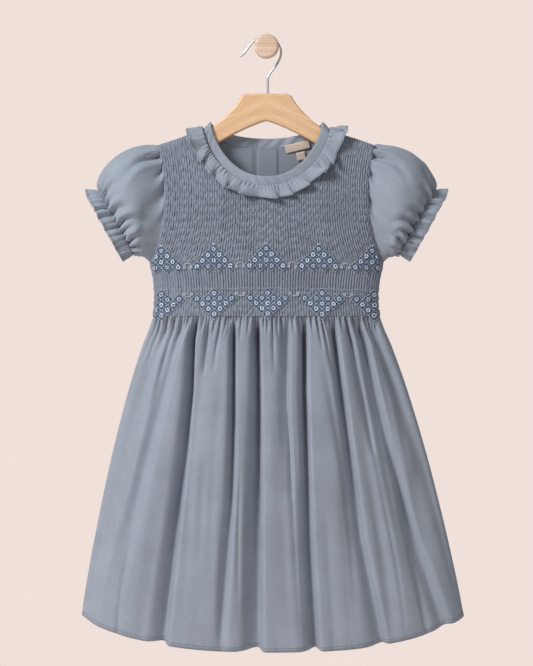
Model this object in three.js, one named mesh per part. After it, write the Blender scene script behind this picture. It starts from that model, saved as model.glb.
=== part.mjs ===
// A small child's smocked dress on a wooden hanger, hung by its wire hook from a round wall knob.
// Millimetres, +Z up. The wall is the plane y = 0, the dress faces -Y, and the origin is the centre
// of the knob's back face. The garment is symmetric about x = 0 apart from its folds and back placket.
import * as THREE from "three";

// Cloth
const CLOTH = 1.2; // wall thickness of plain cotton
const SEAM = 0.3; // distance between two pieces at a seam
const HANG_Y = -40; // plane of the hanger and of the shoulder and side seams
const FRONT = -1; // the side of that plane which faces away from the wall
const BACK = 1;

// Heights along the garment
const SHOULDER_Z = -92; // shoulder line at SHOULDER_X, falling outwards
const SHOULDER_X = 62;
const SHOULDER_SLOPE = 0.35;
const SHOULDER_ROLL = 8; // radius with which the cloth turns over the hanger's top edge
const UNDERARM_Z = -248.4;
const WAIST_Z = -310;
const HEM_CENTRE_Z = -693;
const HEM_SIDE_Z = -653;

// Half widths of the bodice: the armhole seam above the underarm, and the width of the lens-shaped
// cross-section, which is the side seam below it.
const ARMHOLE = [
  { z: -113.9, x: 124.9 },
  { z: -130, x: 121.2 },
  { z: -150, x: 118.3 },
  { z: -176, x: 117.0 },
  { z: -200, x: 118.6 },
  { z: -216, x: 121.6 },
  { z: -235, x: 127.6 },
  { z: UNDERARM_Z, x: 133.4 },
];
const BODICE = [
  { z: -60, width: 152, front: 15, back: 14 },
  { z: -114, width: 151, front: 20, back: 18 },
  { z: -180, width: 148, front: 25, back: 21 },
  { z: -216, width: 141, front: 26, back: 22 },
  { z: -235, width: 136, front: 26, back: 22 },
  { z: UNDERARM_Z, width: 133.6, front: 25.5, back: 21.5 },
  { z: -268, width: 129.2, front: 25, back: 21 },
  { z: -291, width: 127.8, front: 25, back: 21 },
  { z: -310.6, width: 129.6, front: 26, back: 21.5 },
];
const SKIRT = [
  { z: WAIST_Z, width: 129.6, front: 26, back: 21.5 },
  { z: -326, width: 135.2, front: 29, back: 23 },
  { z: -343, width: 142.4, front: 31, back: 24.5 },
  { z: -394, width: 159.5, front: 36, back: 27 },
  { z: -463, width: 178.8, front: 40, back: 29 },
  { z: -532, width: 195.2, front: 42, back: 30.5 },
  { z: -601, width: 209.6, front: 43, back: 31.5 },
  { z: -653, width: 219.0, front: 44, back: 32 },
  { z: -700, width: 226.0, front: 44.5, back: 32 },
];

// Neck: superellipses through the shoulder points. edge is where the panels end, top the band's fold.
const NECK = {
  edge: { halfWidth: 72.2, shoulderZ: -95.6, frontDrop: 65, backDrop: 20, depthShare: 1 },
  top: { halfWidth: 63.8, shoulderZ: -86.4, frontDrop: 63, backDrop: 18.5, depthShare: 0.95 },
  sidePower: 2.2,
  dropPower: 1.5,
};
const BAND_THICK = 2.2;
const BAND_COLUMNS = 56;

// Smocking on the front bodice: ribs drawn together in pairs, the other pairs on every next row.
const RIBS = 60;
const RIB_HEIGHT = 1.4;
const RIB_SHIFT = 0.28; // sideways share of a column that a rib leans to its partner
const SMOCK_ROWS = 14;
const CORNER_RIB_COLUMN = 35; // the column, counted from the middle, at the neck's shoulder point
const INSIDE_COLUMNS = [0, 6, 12, 17, 21, 24, 27, 29, 31, 33, 34, 35, 37, 42, 48, 54, 60];
const INSIDE_ROWS = 9;
const BACK_COLUMNS = [0.2, 0.45, 0.7, 0.86, 0.94, 0.98, 1, 1.06, 1.2, 1.4, 1.715]; // corner at 1
const ROLL_ROWS = [0, 1.2, 4.4]; // distances of a panel's first rows from its top edge

// Ruffle round the neck
const RUFFLE = {
  thick: 1.0,
  frontWidth: 16.5,
  shoulderWidth: 18.5,
  waves: 20,
  wave: 2.1,
  lift: 1.4,
  columns: 80,
  rows: 2,
};

// Skirt folds, as troughs in the wall. at is the place across the panel from -1 to 1, top at the
// waist and hem at the hem; depth and half width are in mm; fade is the share of the length at
// which the trough has died out, above 1 where it still shows at the hem; steep is the side, left
// -1 or right 1, whose wall is the sharper.
const FRONT_FOLDS = [
  { top: -0.9, hem: -0.945, depth: 4.5, halfWidth: 8, fade: 1.3, steep: 0 },
  { top: -0.77, hem: -0.81, depth: 9, halfWidth: 9, fade: 0.85, steep: 0 },
  { top: -0.6, hem: -0.525, depth: 17, halfWidth: 11, fade: 2.2, steep: 1 },
  { top: -0.47, hem: -0.42, depth: 7, halfWidth: 6, fade: 0.3, steep: 0 },
  { top: -0.37, hem: -0.34, depth: 6, halfWidth: 6, fade: 0.22, steep: 0 },
  { top: -0.26, hem: -0.2, depth: 13, halfWidth: 8, fade: 0.95, steep: 1 },
  { top: -0.08, hem: -0.09, depth: 18, halfWidth: 12, fade: 3, steep: 1 },
  { top: 0.18, hem: 0.115, depth: 11, halfWidth: 9, fade: 1.6, steep: -1 },
  { top: 0.32, hem: 0.247, depth: 17, halfWidth: 11, fade: 2, steep: -1 },
  { top: 0.45, hem: 0.46, depth: 6, halfWidth: 6, fade: 0.25, steep: 0 },
  { top: 0.58, hem: 0.565, depth: 16, halfWidth: 11, fade: 1.6, steep: -1 },
  { top: 0.7, hem: 0.69, depth: 8, halfWidth: 7, fade: 0.45, steep: 0 },
  { top: 0.81, hem: 0.89, depth: 13, halfWidth: 11, fade: 1.15, steep: -1 },
  { top: 0.92, hem: 0.975, depth: 5, halfWidth: 8, fade: 0.8, steep: 0 },
];
const BACK_FOLDS = [
  { top: -0.88, hem: -0.92, depth: 4.5, halfWidth: 8, fade: 1.1, steep: 0 },
  { top: -0.7, hem: -0.72, depth: 11, halfWidth: 10, fade: 1.8, steep: 1 },
  { top: -0.52, hem: -0.5, depth: 7, halfWidth: 8, fade: 0.6, steep: 0 },
  { top: -0.36, hem: -0.33, depth: 13, halfWidth: 11, fade: 2, steep: -1 },
  { top: -0.15, hem: -0.17, depth: 9, halfWidth: 9, fade: 0.9, steep: 0 },
  { top: 0.04, hem: 0.03, depth: 13, halfWidth: 12, fade: 2.5, steep: 1 },
  { top: 0.24, hem: 0.22, depth: 8, halfWidth: 8, fade: 0.7, steep: 0 },
  { top: 0.42, hem: 0.4, depth: 12, halfWidth: 11, fade: 2, steep: -1 },
  { top: 0.62, hem: 0.64, depth: 10, halfWidth: 10, fade: 1.5, steep: 1 },
  { top: 0.82, hem: 0.87, depth: 7, halfWidth: 9, fade: 1, steep: 0 },
];
const GATHER = { height: 1.5, fadeLength: 55 }; // the small gathers just below the waist
const FRONT_SKIRT = { folds: FRONT_FOLDS, columns: 72, rows: 9 };
const BACK_SKIRT = { folds: BACK_FOLDS, columns: 56, rows: 8 };
const HEM_CURVE = 2.6; // how late the hem rises towards the side seams

// Puff sleeve from the armhole to the elastic at 1 and on to the frill's edge. upper and lower are
// the outline's points as seen from the front, halfDepth the puff's, gather and frill its waves.
const SLEEVE = [
  { at: 0, upperX: 125.4, upperZ: -113.9, lowerX: 133.4, lowerZ: -248.4, halfDepth: 13, gather: 0 },
  { at: 0.15, upperX: 135.7, upperZ: -112.6, lowerX: 137.4, lowerZ: -243.6, halfDepth: 22, gather: 1.2 },
  { at: 0.35, upperX: 154.1, upperZ: -116.4, lowerX: 141.2, lowerZ: -241.2, halfDepth: 28, gather: 0.6 },
  { at: 0.55, upperX: 171.4, upperZ: -125.6, lowerX: 144.2, lowerZ: -240.2, halfDepth: 29, gather: 0.4 },
  { at: 0.75, upperX: 186.3, upperZ: -140.8, lowerX: 147.6, lowerZ: -239.2, halfDepth: 25, gather: 0.8 },
  { at: 0.9, upperX: 192.6, upperZ: -157.4, lowerX: 150.2, lowerZ: -238.2, halfDepth: 18, gather: 1.6 },
  { at: 1, upperX: 189.2, upperZ: -167.6, lowerX: 152.8, lowerZ: -237.4, halfDepth: 12.5, gather: 1.1 },
  { at: 1.12, upperX: 199, upperZ: -167.4, lowerX: 159.5, lowerZ: -241, halfDepth: 15.5, gather: 1.8 },
  { at: 1.25, upperX: 208, upperZ: -169, lowerX: 166.6, lowerZ: -244.6, halfDepth: 17.5, gather: 2.6 },
];
const SLEEVE_COLUMNS = 28;
const SLEEVE_WAVES = 7;
const ARMHOLE_BLEND = 0.3; // share of the sleeve over which its rings leave the armhole's curve
const SLEEVE_GAP = 1.1; // from the bodice's edge to the sleeve's first ring

// Back opening: the left panel laps outwards over the right one, and three buttons close it.
const LAP = { left: -9.5, right: 12, over: 1.7, bandOver: 2.7, ramp: 9 };
const BACK_ROWS = 11;
const BUTTON = { radius: 5.2, thick: 2.2, x: 1.5, gap: 0.5, heights: [-147, -205, -263] };

// Woven labels, both blank, under the back neck band.
const LABEL = { x: 36, z: -114.2, width: 29, height: 9.4, tilt: 13, thick: 0.7, inset: 1.7 };
const SIZE_TAB = { x: 40, z: -124.9, width: 10.4, height: 9.6, tilt: 13, thick: 0.7, inset: 1.4 };

// Hanger, hook and knob
const HANGER_THICK = 10;
const HANGER_BEVEL = 2;
const HOOK_R = 1.3;
const HOOK_STEM_X = 1.6;
const HOOK_BEND = { x: -1, z: -6.0, r: 17.8 }; // the hook's circle, resting on the knob's stem
const KNOB = { stemR: 10, headR: 14.2, headBack: -47, length: 58, edge: 2.6 };
const KNOB_SIDES = 24;

const clamp = THREE.MathUtils.clamp;
const lerp = THREE.MathUtils.lerp;
const smooth = (value, from, to) => {
  const t = clamp((value - from) / (to - from), 0, 1);
  return t * t * (3 - 2 * t);
};

// A table's column at one place, on a smooth curve through its rows.
function tableAt(rows, key, column, place) {
  const falling = rows[0][key] > rows[rows.length - 1][key];
  const sign = falling ? -1 : 1;
  let k = rows.findIndex((row) => sign * row[key] >= sign * place);
  if (k === 0) return rows[0][column];
  if (k < 0) return rows[rows.length - 1][column];
  const slope = (a, b) => (rows[b][column] - rows[a][column]) / (rows[b][key] - rows[a][key]);
  const [a, b] = [rows[k - 1], rows[k]];
  const run = b[key] - a[key];
  const before = k > 1 ? slope(k - 2, k) : slope(k - 1, k);
  const after = k < rows.length - 1 ? slope(k - 1, k + 1) : slope(k - 1, k);
  const t = (place - a[key]) / run;
  return (
    a[column] * (1 + 2 * t) * (1 - t) ** 2 +
    b[column] * t * t * (3 - 2 * t) +
    run * (before * t * (1 - t) ** 2 + after * t * t * (t - 1))
  );
}

// Height of the shoulder line, which rounds off over the neck opening.
function shoulderZ(x) {
  const inNeck = Math.abs(x) < SHOULDER_X;
  const out = inNeck ? (x * x) / (2 * SHOULDER_X) + SHOULDER_X / 2 : Math.abs(x);
  return SHOULDER_Z - SHOULDER_SLOPE * (out - SHOULDER_X);
}

const depthKey = (side) => (side === FRONT ? "front" : "back");

// Half depth of the bodice's middle surface at a point of its outline seen from the front.
function bodiceDepth(side, x, z) {
  const below = Math.max(0, shoulderZ(x) - z);
  const rim = below < SHOULDER_ROLL ? Math.sqrt(below * (2 * SHOULDER_ROLL - below)) : SHOULDER_ROLL;
  const width = tableAt(BODICE, "z", "width", z);
  const lens = Math.sqrt(Math.max(0, 1 - (x / width) ** 2));
  const full = tableAt(BODICE, "z", depthKey(side), z);
  const closing = smooth(-z, 150, -UNDERARM_Z - 6);
  return rim * lerp(1, lens, closing) + (full - SHOULDER_ROLL) * smooth(below, 0, 95) * lens;
}

const bodicePoint = (side, x, z) =>
  new THREE.Vector3(x, HANG_Y + side * Math.max(bodiceDepth(side, x, z), SEAM / 2), z);

// The bodice's outward direction at a point, from the slope of its depth.
function bodiceNormal(side, x, z) {
  const step = 0.05;
  const across = (bodiceDepth(side, x + step, z) - bodiceDepth(side, x - step, z)) / (2 * step);
  const down = (bodiceDepth(side, x, z + step) - bodiceDepth(side, x, z - step)) / (2 * step);
  return new THREE.Vector3(-across, side, -down).normalize();
}

// Half width of a bodice panel at a height: the armhole seam, and the side seam below it.
const bodiceEdge = (z) =>
  z > UNDERARM_Z ? tableAt(ARMHOLE, "z", "x", z) : tableAt(BODICE, "z", "width", z) - 0.01;

// Cumulative lengths along one half of a cross-section, from the middle to the edge.
function halfSection(edge, depthOf) {
  const samples = 48;
  const xs = [0];
  const lengths = [0];
  for (let k = 1; k <= samples; k++) {
    xs.push(edge * Math.sin((k / samples) * (Math.PI / 2)));
    const rise = depthOf(xs[k]) - depthOf(xs[k - 1]);
    lengths.push(lengths[k - 1] + Math.hypot(xs[k] - xs[k - 1], rise));
  }
  return { xs, lengths, total: lengths[samples] };
}

// The x at a share, from -1 to 1, of the cloth's own width along a cross-section.
function xAtShare(section, share) {
  const wanted = Math.abs(share) * section.total;
  let k = section.lengths.findIndex((length) => length >= wanted);
  if (k < 1) k = k < 0 ? section.lengths.length - 1 : 1;
  const part = (wanted - section.lengths[k - 1]) / (section.lengths[k] - section.lengths[k - 1]);
  return Math.sign(share) * lerp(section.xs[k - 1], section.xs[k], clamp(part, 0, 1));
}

function shareAtX(section, x) {
  const k = section.xs.findIndex((value) => value >= Math.abs(x));
  const part = (Math.abs(x) - section.xs[k - 1]) / (section.xs[k] - section.xs[k - 1]);
  return (Math.sign(x) * lerp(section.lengths[k - 1], section.lengths[k], part)) / section.total;
}

const bodiceSection = (side, z) => halfSection(bodiceEdge(z), (x) => bodiceDepth(side, x, z));

// The neck's shoulder point as a share of a panel's half width.
const cornerShare = (side) =>
  shareAtX(bodiceSection(side, NECK.edge.shoulderZ), NECK.edge.halfWidth);

// Neck curves. turn runs from 0 at the front centre to 1 at the shoulder and 2 at the back centre.
function neckPoint(curve, turn) {
  const side = turn <= 1 ? FRONT : BACK;
  const angle = (Math.PI / 2) * (turn <= 1 ? turn : 2 - turn);
  const drop = side === FRONT ? curve.frontDrop : curve.backDrop;
  const x = curve.halfWidth * Math.sin(angle) ** (2 / NECK.sidePower);
  const z = curve.shoulderZ - drop * Math.max(0, Math.cos(angle)) ** (2 / NECK.dropPower);
  return { side, x, z, drop };
}

// Top of a bodice column: the neck's edge near the middle, and the shoulder line outside it.
function bodiceTop(side, x) {
  const { halfWidth, shoulderZ: start, frontDrop, backDrop } = NECK.edge;
  const inside = 1 - (Math.abs(x) / halfWidth) ** NECK.sidePower;
  if (inside <= 0) return shoulderZ(x) - SEAM / 8;
  const drop = side === FRONT ? frontDrop : backDrop;
  return Math.min(start - drop * inside ** (1 / NECK.dropPower), shoulderZ(x) - SEAM / 8);
}

// Height of a row: close together where the cloth rolls over the shoulder, and even below.
function rowHeight(top, j, rows) {
  if (j < ROLL_ROWS.length) return top - ROLL_ROWS[j];
  const last = ROLL_ROWS.length - 1;
  return lerp(top - ROLL_ROWS[last], WAIST_Z, (j - last) / (rows - last));
}

// A grid of points down a bodice panel. shares gives each column's place across the panel, which
// may follow the height, and place gives each row's share of the way from the top to the waist.
function bodiceGrid(side, columns, rows, shareOf) {
  const grid = [];
  for (let j = 0; j <= rows; j++) {
    const line = [];
    for (let i = 0; i <= columns; i++) {
      let z = UNDERARM_Z;
      let x = 0;
      const settle = 12; // rounds in which the column's foot on the sloping top edge settles
      for (let round = 0; round < settle; round++) {
        const section = bodiceSection(side, z);
        x = xAtShare(section, shareOf(i, j, section));
        z = rowHeight(bodiceTop(side, x), j, rows);
      }
      line.push(bodicePoint(side, x, z));
    }
    grid.push(line);
  }
  return grid;
}

// Unit directions square to a grid of points, pointing out of the garment.
function gridNormals(grid, closed, outwards) {
  const rows = grid.length - 1;
  const columns = grid[0].length - 1;
  return grid.map((line, j) =>
    line.map((point, i) => {
      const wrap = (k) => (k + columns) % columns;
      const left = closed ? line[wrap(i - 1)] : line[Math.max(0, i - 1)];
      const right = closed ? line[wrap(i + 1)] : line[Math.min(columns, i + 1)];
      const up = grid[Math.max(0, j - 1)][i];
      const down = grid[Math.min(rows, j + 1)][i];
      const across = right.clone().sub(left);
      const normal = across.cross(down.clone().sub(up)).normalize();
      return normal.dot(outwards(point)) < 0 ? normal.negate() : normal;
    }),
  );
}

// A panel's normals flattened into its seam planes, so that neighbours stay apart at a seam.
function flattenAtSeams(normals, seams) {
  const rows = normals.length - 1;
  const columns = normals[0].length - 1;
  normals.forEach((line, j) =>
    line.forEach((normal, i) => {
      if (seams.sides && (i === 0 || i === columns)) normal.y = 0;
      if (seams.top && j === 0) normal[seams.top] = 0;
      if (seams.bottom && j === rows) normal[seams.bottom] = 0;
      normal.normalize();
    }),
  );
  return normals;
}

const moved = (grid, normals, distance) =>
  grid.map((line, j) =>
    line.map((point, i) => point.clone().addScaledVector(normals[j][i], distance(i, j))),
  );

// Triangle lists
class Mesher {
  constructor() {
    this.positions = [];
  }

  triangle(a, b, c) {
    for (const p of [a, b, c]) this.positions.push(p.x, p.y, p.z);
  }

  // A grid of quads, each cut along its shorter diagonal.
  surface(grid, flipped) {
    for (let j = 0; j + 1 < grid.length; j++)
      for (let i = 0; i + 1 < grid[j].length; i++) {
        const corners = [grid[j][i], grid[j][i + 1], grid[j + 1][i + 1], grid[j + 1][i]];
        const [a, b, c, d] = flipped ? corners.reverse() : corners;
        if (a.distanceToSquared(c) <= b.distanceToSquared(d)) {
          this.triangle(a, b, c);
          this.triangle(a, c, d);
        } else {
          this.triangle(b, c, d);
          this.triangle(b, d, a);
        }
      }
  }

  // A strip between two lines with any numbers of points, walked by their shares of the way.
  strip(lineA, lineB) {
    let [i, k] = [0, 0];
    while (i < lineA.length - 1 || k < lineB.length - 1) {
      const shareA = i < lineA.length - 1 ? (i + 1) / (lineA.length - 1) : 2;
      const shareB = k < lineB.length - 1 ? (k + 1) / (lineB.length - 1) : 2;
      if (shareA <= shareB) {
        this.triangle(lineA[i], lineB[k], lineA[i + 1]);
        i++;
      } else {
        this.triangle(lineA[i], lineB[k], lineB[k + 1]);
        k++;
      }
    }
  }

  geometry() {
    const made = new THREE.BufferGeometry();
    made.setAttribute("position", new THREE.Float32BufferAttribute(this.positions, 3));
    made.computeVertexNormals();
    return outwardFacing(made);
  }
}

// Turns a closed surface round if its faces point inwards.
function outwardFacing(geometry) {
  const p = geometry.getAttribute("position");
  const [a, b, c] = [new THREE.Vector3(), new THREE.Vector3(), new THREE.Vector3()];
  let volume = 0;
  for (let i = 0; i < p.count; i += 3) {
    a.fromBufferAttribute(p, i);
    b.fromBufferAttribute(p, i + 1);
    c.fromBufferAttribute(p, i + 2);
    volume += a.dot(b.cross(c)) / 6;
  }
  if (volume >= 0) return geometry;
  for (let i = 0; i < p.count; i += 3) {
    b.fromBufferAttribute(p, i + 1);
    c.fromBufferAttribute(p, i + 2);
    p.setXYZ(i + 1, c.x, c.y, c.z);
    p.setXYZ(i + 2, b.x, b.y, b.z);
  }
  geometry.computeVertexNormals();
  return geometry;
}

const column = (grid, i) => grid.map((line) => line[i]);

// A closed wall between an outer and an inner grid of an open panel, whose numbers may differ.
function panelWall(outer, inner) {
  const mesher = new Mesher();
  mesher.surface(outer, false);
  mesher.surface(inner, true);
  mesher.strip(outer[0], inner[0]);
  mesher.strip(inner.at(-1), outer.at(-1));
  mesher.strip(column(inner, 0), column(outer, 0));
  mesher.strip(column(outer, outer[0].length - 1), column(inner, inner[0].length - 1));
  return mesher.geometry();
}

// A closed wall between two tubes: each grid's last column repeats its first.
function tubeWall(outer, inner) {
  const mesher = new Mesher();
  mesher.surface(outer, false);
  mesher.surface(inner, true);
  mesher.strip(outer[0], inner[0]);
  mesher.strip(inner.at(-1), outer.at(-1));
  return mesher.geometry();
}

const outOfPlane = (side) => () => new THREE.Vector3(0, side, 0);
const outOfTorso = (point) => new THREE.Vector3(point.x * 0.02, Math.sign(point.y - HANG_Y), 0);
const half = () => CLOTH / 2;
const minusHalf = () => -CLOTH / 2;

// The smocked front: a plain inside, and ribs raised in the outer points.
function frontBodice() {
  const columns = 2 * RIBS;
  const lean = (i, j) => {
    const rib = (i - 1) / 2;
    const inside = i > 1 && i < columns - 1 && j > 0 && j < SMOCK_ROWS;
    return i % 2 === 1 && inside ? RIB_SHIFT * (rib % 2 === j % 2 ? 1 : -1) : 0;
  };
  const corner = cornerShare(FRONT);
  const ribShare = (place) => {
    const out = Math.abs(place);
    const back = CORNER_RIB_COLUMN - out;
    const crowded = (back * back * (CORNER_RIB_COLUMN + 2)) / ((back + 2) * CORNER_RIB_COLUMN);
    const inside = corner * (1 - crowded / CORNER_RIB_COLUMN);
    const outside = 1 - ((1 - corner) * (RIBS - out)) / (RIBS - CORNER_RIB_COLUMN);
    return Math.sign(place) * (out < CORNER_RIB_COLUMN ? inside : outside);
  };
  const insidePlaces = [...INSIDE_COLUMNS.slice(1).reverse().map((k) => -k), ...INSIDE_COLUMNS];
  const outerShare = (i, j) => ribShare(i - RIBS + lean(i, j));
  const innerShare = (i) => ribShare(insidePlaces[i]);
  const outerMiddle = bodiceGrid(FRONT, columns, SMOCK_ROWS, outerShare);
  const innerMiddle = bodiceGrid(FRONT, insidePlaces.length - 1, INSIDE_ROWS, innerShare);
  const seams = { edges: [0, -1], bottom: "z" };
  const outerNormals = bodiceNormals(outerMiddle, FRONT, seams);
  const innerNormals = bodiceNormals(innerMiddle, FRONT, seams);
  const relief = (i, j) => {
    const onEdge = i === 0 || i === columns || j === SMOCK_ROWS;
    return CLOTH / 2 + (i % 2 === 1 && !onEdge && j > 0 ? RIB_HEIGHT : 0);
  };
  return panelWall(
    moved(outerMiddle, outerNormals, relief),
    moved(innerMiddle, innerNormals, minusHalf),
  );
}

// Directions out of a bodice panel, flattened at its seams.
function bodiceNormals(grid, side, seams) {
  const normals = grid.map((line) => line.map((point) => bodiceNormal(side, point.x, point.z)));
  grid[0].forEach((point, i) => {
    if (bodiceDepth(side, point.x, point.z) < 1.5) {
      normals[0][i].y = 0;
      normals[0][i].normalize();
    }
  });
  grid.forEach((line, j) => {
    for (const i of seams.edges) {
      const k = i < 0 ? line.length - 1 : i;
      if (line[k].z <= UNDERARM_Z + 1) normals[j][k].y = 0;
      else normals[j][k].x = 0;
      normals[j][k].normalize();
    }
  });
  return flattenAtSeams(normals, { bottom: seams.bottom });
}

// How far the left back panel is lifted over the right one.
const lapLift = (x) => LAP.over * smooth(x, LAP.left - LAP.ramp, LAP.left - 0.5);

// One back panel from its side seam to its edge past the middle. hand is -1 left and 1 right.
function backBodice(hand) {
  const corner = cornerShare(BACK);
  const places = [...BACK_COLUMNS].reverse().map((place) => hand * Math.min(1, corner * place));
  const lapEnds = [LAP.left - LAP.ramp, LAP.left - 0.6, 1, LAP.right];
  const ends = hand < 0 ? lapEnds : [1, LAP.left];
  const columns = places.length + ends.length - 1;
  const share = (i, j, section) =>
    i < places.length ? places[i] : shareAtX(section, ends[i - places.length]);
  const middle = bodiceGrid(BACK, columns, BACK_ROWS, share);
  const normals = bodiceNormals(middle, BACK, { edges: [0], bottom: "z" });
  const lift = (i, j) => (hand < 0 ? lapLift(middle[j][i].x) : 0);
  return panelWall(
    moved(middle, normals, (i, j) => lift(i, j) + CLOTH / 2),
    moved(middle, normals, (i, j) => lift(i, j) - CLOTH / 2),
  );
}

// Half depth of the skirt before its folds.
function skirtDepth(side, x, z) {
  const width = tableAt(SKIRT, "z", "width", z);
  const flatness = 2.2;
  const lens = Math.max(0, 1 - Math.abs(x / width) ** flatness) ** (1 / 2);
  return tableAt(SKIRT, "z", depthKey(side), z) * lens;
}

// Depth of the folds at a place across and a share of the way down, negative into the garment.
function foldDepth(folds, across, down, halfCloth) {
  let depth = 0;
  for (const fold of folds) {
    const centre = lerp(fold.top, fold.hem, Math.sqrt(down));
    const spread = fold.halfWidth * lerp(0.6, 1.45, down);
    const distance = (across - centre) * halfCloth;
    const sharper = Math.sign(distance) === fold.steep ? 0.55 : 1;
    const reach = Math.abs(distance) / (spread * sharper);
    const alive = Math.max(0, 1 - down / fold.fade);
    const waist = smooth(down, -0.02, 0.1);
    depth -= fold.depth * Math.exp(-(reach ** 2.4)) * Math.sqrt(alive) * waist;
  }
  return depth * smooth(1 - Math.abs(across), 0, 0.06);
}

// A skirt panel's middle surface as a grid, folded and gathered.
function skirtGrid(side, panel) {
  const grid = [];
  for (let j = 0; j <= panel.rows; j++) {
    const down = (j / panel.rows) ** 1.25;
    const line = [];
    for (let i = 0; i <= panel.columns; i++) {
      const across = -1 + (2 * i) / panel.columns;
      const hem = lerp(HEM_CENTRE_Z, HEM_SIDE_Z, Math.abs(across) ** HEM_CURVE);
      const z = lerp(WAIST_Z - SEAM, hem, down);
      const depthOf = (x) => skirtDepth(side, x, z);
      const section = halfSection(tableAt(SKIRT, "z", "width", z) - 0.01, depthOf);
      const x = xAtShare(section, across);
      const y = HANG_Y + side * Math.max(depthOf(x), SEAM / 2);
      const step = 0.05;
      const slope = (depthOf(x + step) - depthOf(x - step)) / (2 * step);
      const out = new THREE.Vector3(-slope, side, 0).normalize();
      const onSeam = i === 0 || i === panel.columns;
      const fade = Math.max(0, 1 - (WAIST_Z - z) / GATHER.fadeLength);
      const gather = onSeam ? 0 : GATHER.height * (i % 2 === 1 ? 1 : -1) * fade;
      const fold = onSeam ? 0 : foldDepth(panel.folds, across, down, section.total);
      line.push(new THREE.Vector3(x, y, z).addScaledVector(out, gather + fold));
    }
    grid.push(line);
  }
  return grid;
}

function skirtPanel(side, panel) {
  const middle = skirtGrid(side, panel);
  const normals = gridNormals(middle, false, outOfTorso);
  flattenAtSeams(normals, { sides: true, top: "z", bottom: "z" });
  return panelWall(moved(middle, normals, half), moved(middle, normals, minusHalf));
}

// The armhole's edge, from the shoulder point at 0 down to the underarm at 1.
function armholePoint(side, way) {
  const top = ARMHOLE[0].z;
  const z = lerp(top, UNDERARM_Z, (1 - Math.cos(Math.PI * way)) / 2);
  const x = tableAt(ARMHOLE, "z", "x", z);
  return new THREE.Vector3(x + SLEEVE_GAP, HANG_Y + side * bodiceDepth(side, x, z), z);
}

// The right sleeve's middle surface: rings from the armhole to the frill's edge.
function sleeveGrid(hand) {
  return SLEEVE.map((ring) => {
    const upper = new THREE.Vector3(ring.upperX, HANG_Y, ring.upperZ);
    const lower = new THREE.Vector3(ring.lowerX, HANG_Y, ring.lowerZ);
    const centre = upper.clone().lerp(lower, 0.5);
    const line = [];
    for (let i = 0; i <= SLEEVE_COLUMNS; i++) {
      const turn = (2 * Math.PI * (i % SLEEVE_COLUMNS)) / SLEEVE_COLUMNS;
      const side = turn < Math.PI ? FRONT : BACK;
      const way = side === FRONT ? turn / Math.PI : 2 - turn / Math.PI;
      const wave = ring.gather * Math.cos(SLEEVE_WAVES * turn);
      const size = 1 + wave / ring.halfDepth / 2;
      const point = upper.clone().sub(centre).multiplyScalar(Math.cos(turn)).add(centre);
      point.y -= Math.sin(turn) * ring.halfDepth * size;
      point.x += wave * 0.5;
      const edge = armholePoint(side, way);
      const near = edge.lerp(point, smooth(ring.at, 0, ARMHOLE_BLEND));
      line.push(new THREE.Vector3(hand * near.x, near.y, near.z));
    }
    return line;
  });
}

function sleeve(hand) {
  const middle = sleeveGrid(hand);
  const centre = new THREE.Vector3(hand * 160, HANG_Y, -195);
  const away = (point) => point.clone().sub(centre);
  const normals = gridNormals(middle, true, away);
  normals[0].forEach((normal, i) => {
    const point = middle[0][i];
    normal.copy(bodiceNormal(point.y <= HANG_Y ? FRONT : BACK, point.x - hand * SLEEVE_GAP, point.z));
    normal.x = 0;
    normal.normalize();
  });
  return tubeWall(moved(middle, normals, half), moved(middle, normals, minusHalf));
}

// Places round the neck at even distances, from the left end at the back over the left shoulder,
// the front and the right shoulder to the right end. Both ends are given as x at the back.
function neckStations(columns, leftEndX, rightEndX) {
  const samples = 400;
  const turns = [];
  const lengths = [0];
  let last = null;
  for (let k = 0; k <= samples; k++) {
    const turn = (2 * k) / samples;
    const { side, x, z } = neckPoint(NECK.edge, turn);
    const point = bodicePoint(side, x, z);
    turns.push(turn);
    if (last) lengths.push(lengths[k - 1] + point.distanceTo(last));
    last = point;
  }
  const [from, to] = [-lengths[samples] - leftEndX, lengths[samples] - rightEndX];
  const stations = [];
  for (let i = 0; i <= columns; i++) {
    const along = lerp(from, to, i / columns);
    const past = Math.abs(along) > lengths[samples];
    const wanted = past ? 2 * lengths[samples] - Math.abs(along) : Math.abs(along);
    const k = Math.max(1, lengths.findIndex((length) => length >= wanted));
    const part = (wanted - lengths[k - 1]) / (lengths[k] - lengths[k - 1]);
    const hand = (along < 0 ? -1 : 1) * (past ? -1 : 1);
    stations.push({ hand, turn: lerp(turns[k - 1], turns[k], part), share: i / columns });
  }
  return stations;
}

// How far the left side's trimmings at the back are lifted over the right side's.
const trimLift = (x, over) => over * smooth(x, LAP.left - LAP.ramp - 6, LAP.left - 2);

// A point of a neck curve in space, on the garment's left or right.
function neckPlace(curve, station) {
  const onCurve = neckPoint(curve, station.turn);
  const onEdge = neckPoint(NECK.edge, station.turn);
  const depth = bodiceDepth(onEdge.side, onEdge.x, onEdge.z) * curve.depthShare;
  const x = station.hand * onCurve.x;
  const lifted = onEdge.side === BACK && station.share < 0.5;
  const lift = lifted ? trimLift(x, LAP.bandOver) : 0;
  return new THREE.Vector3(x, HANG_Y + onEdge.side * (depth + lift), onCurve.z);
}

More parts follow.
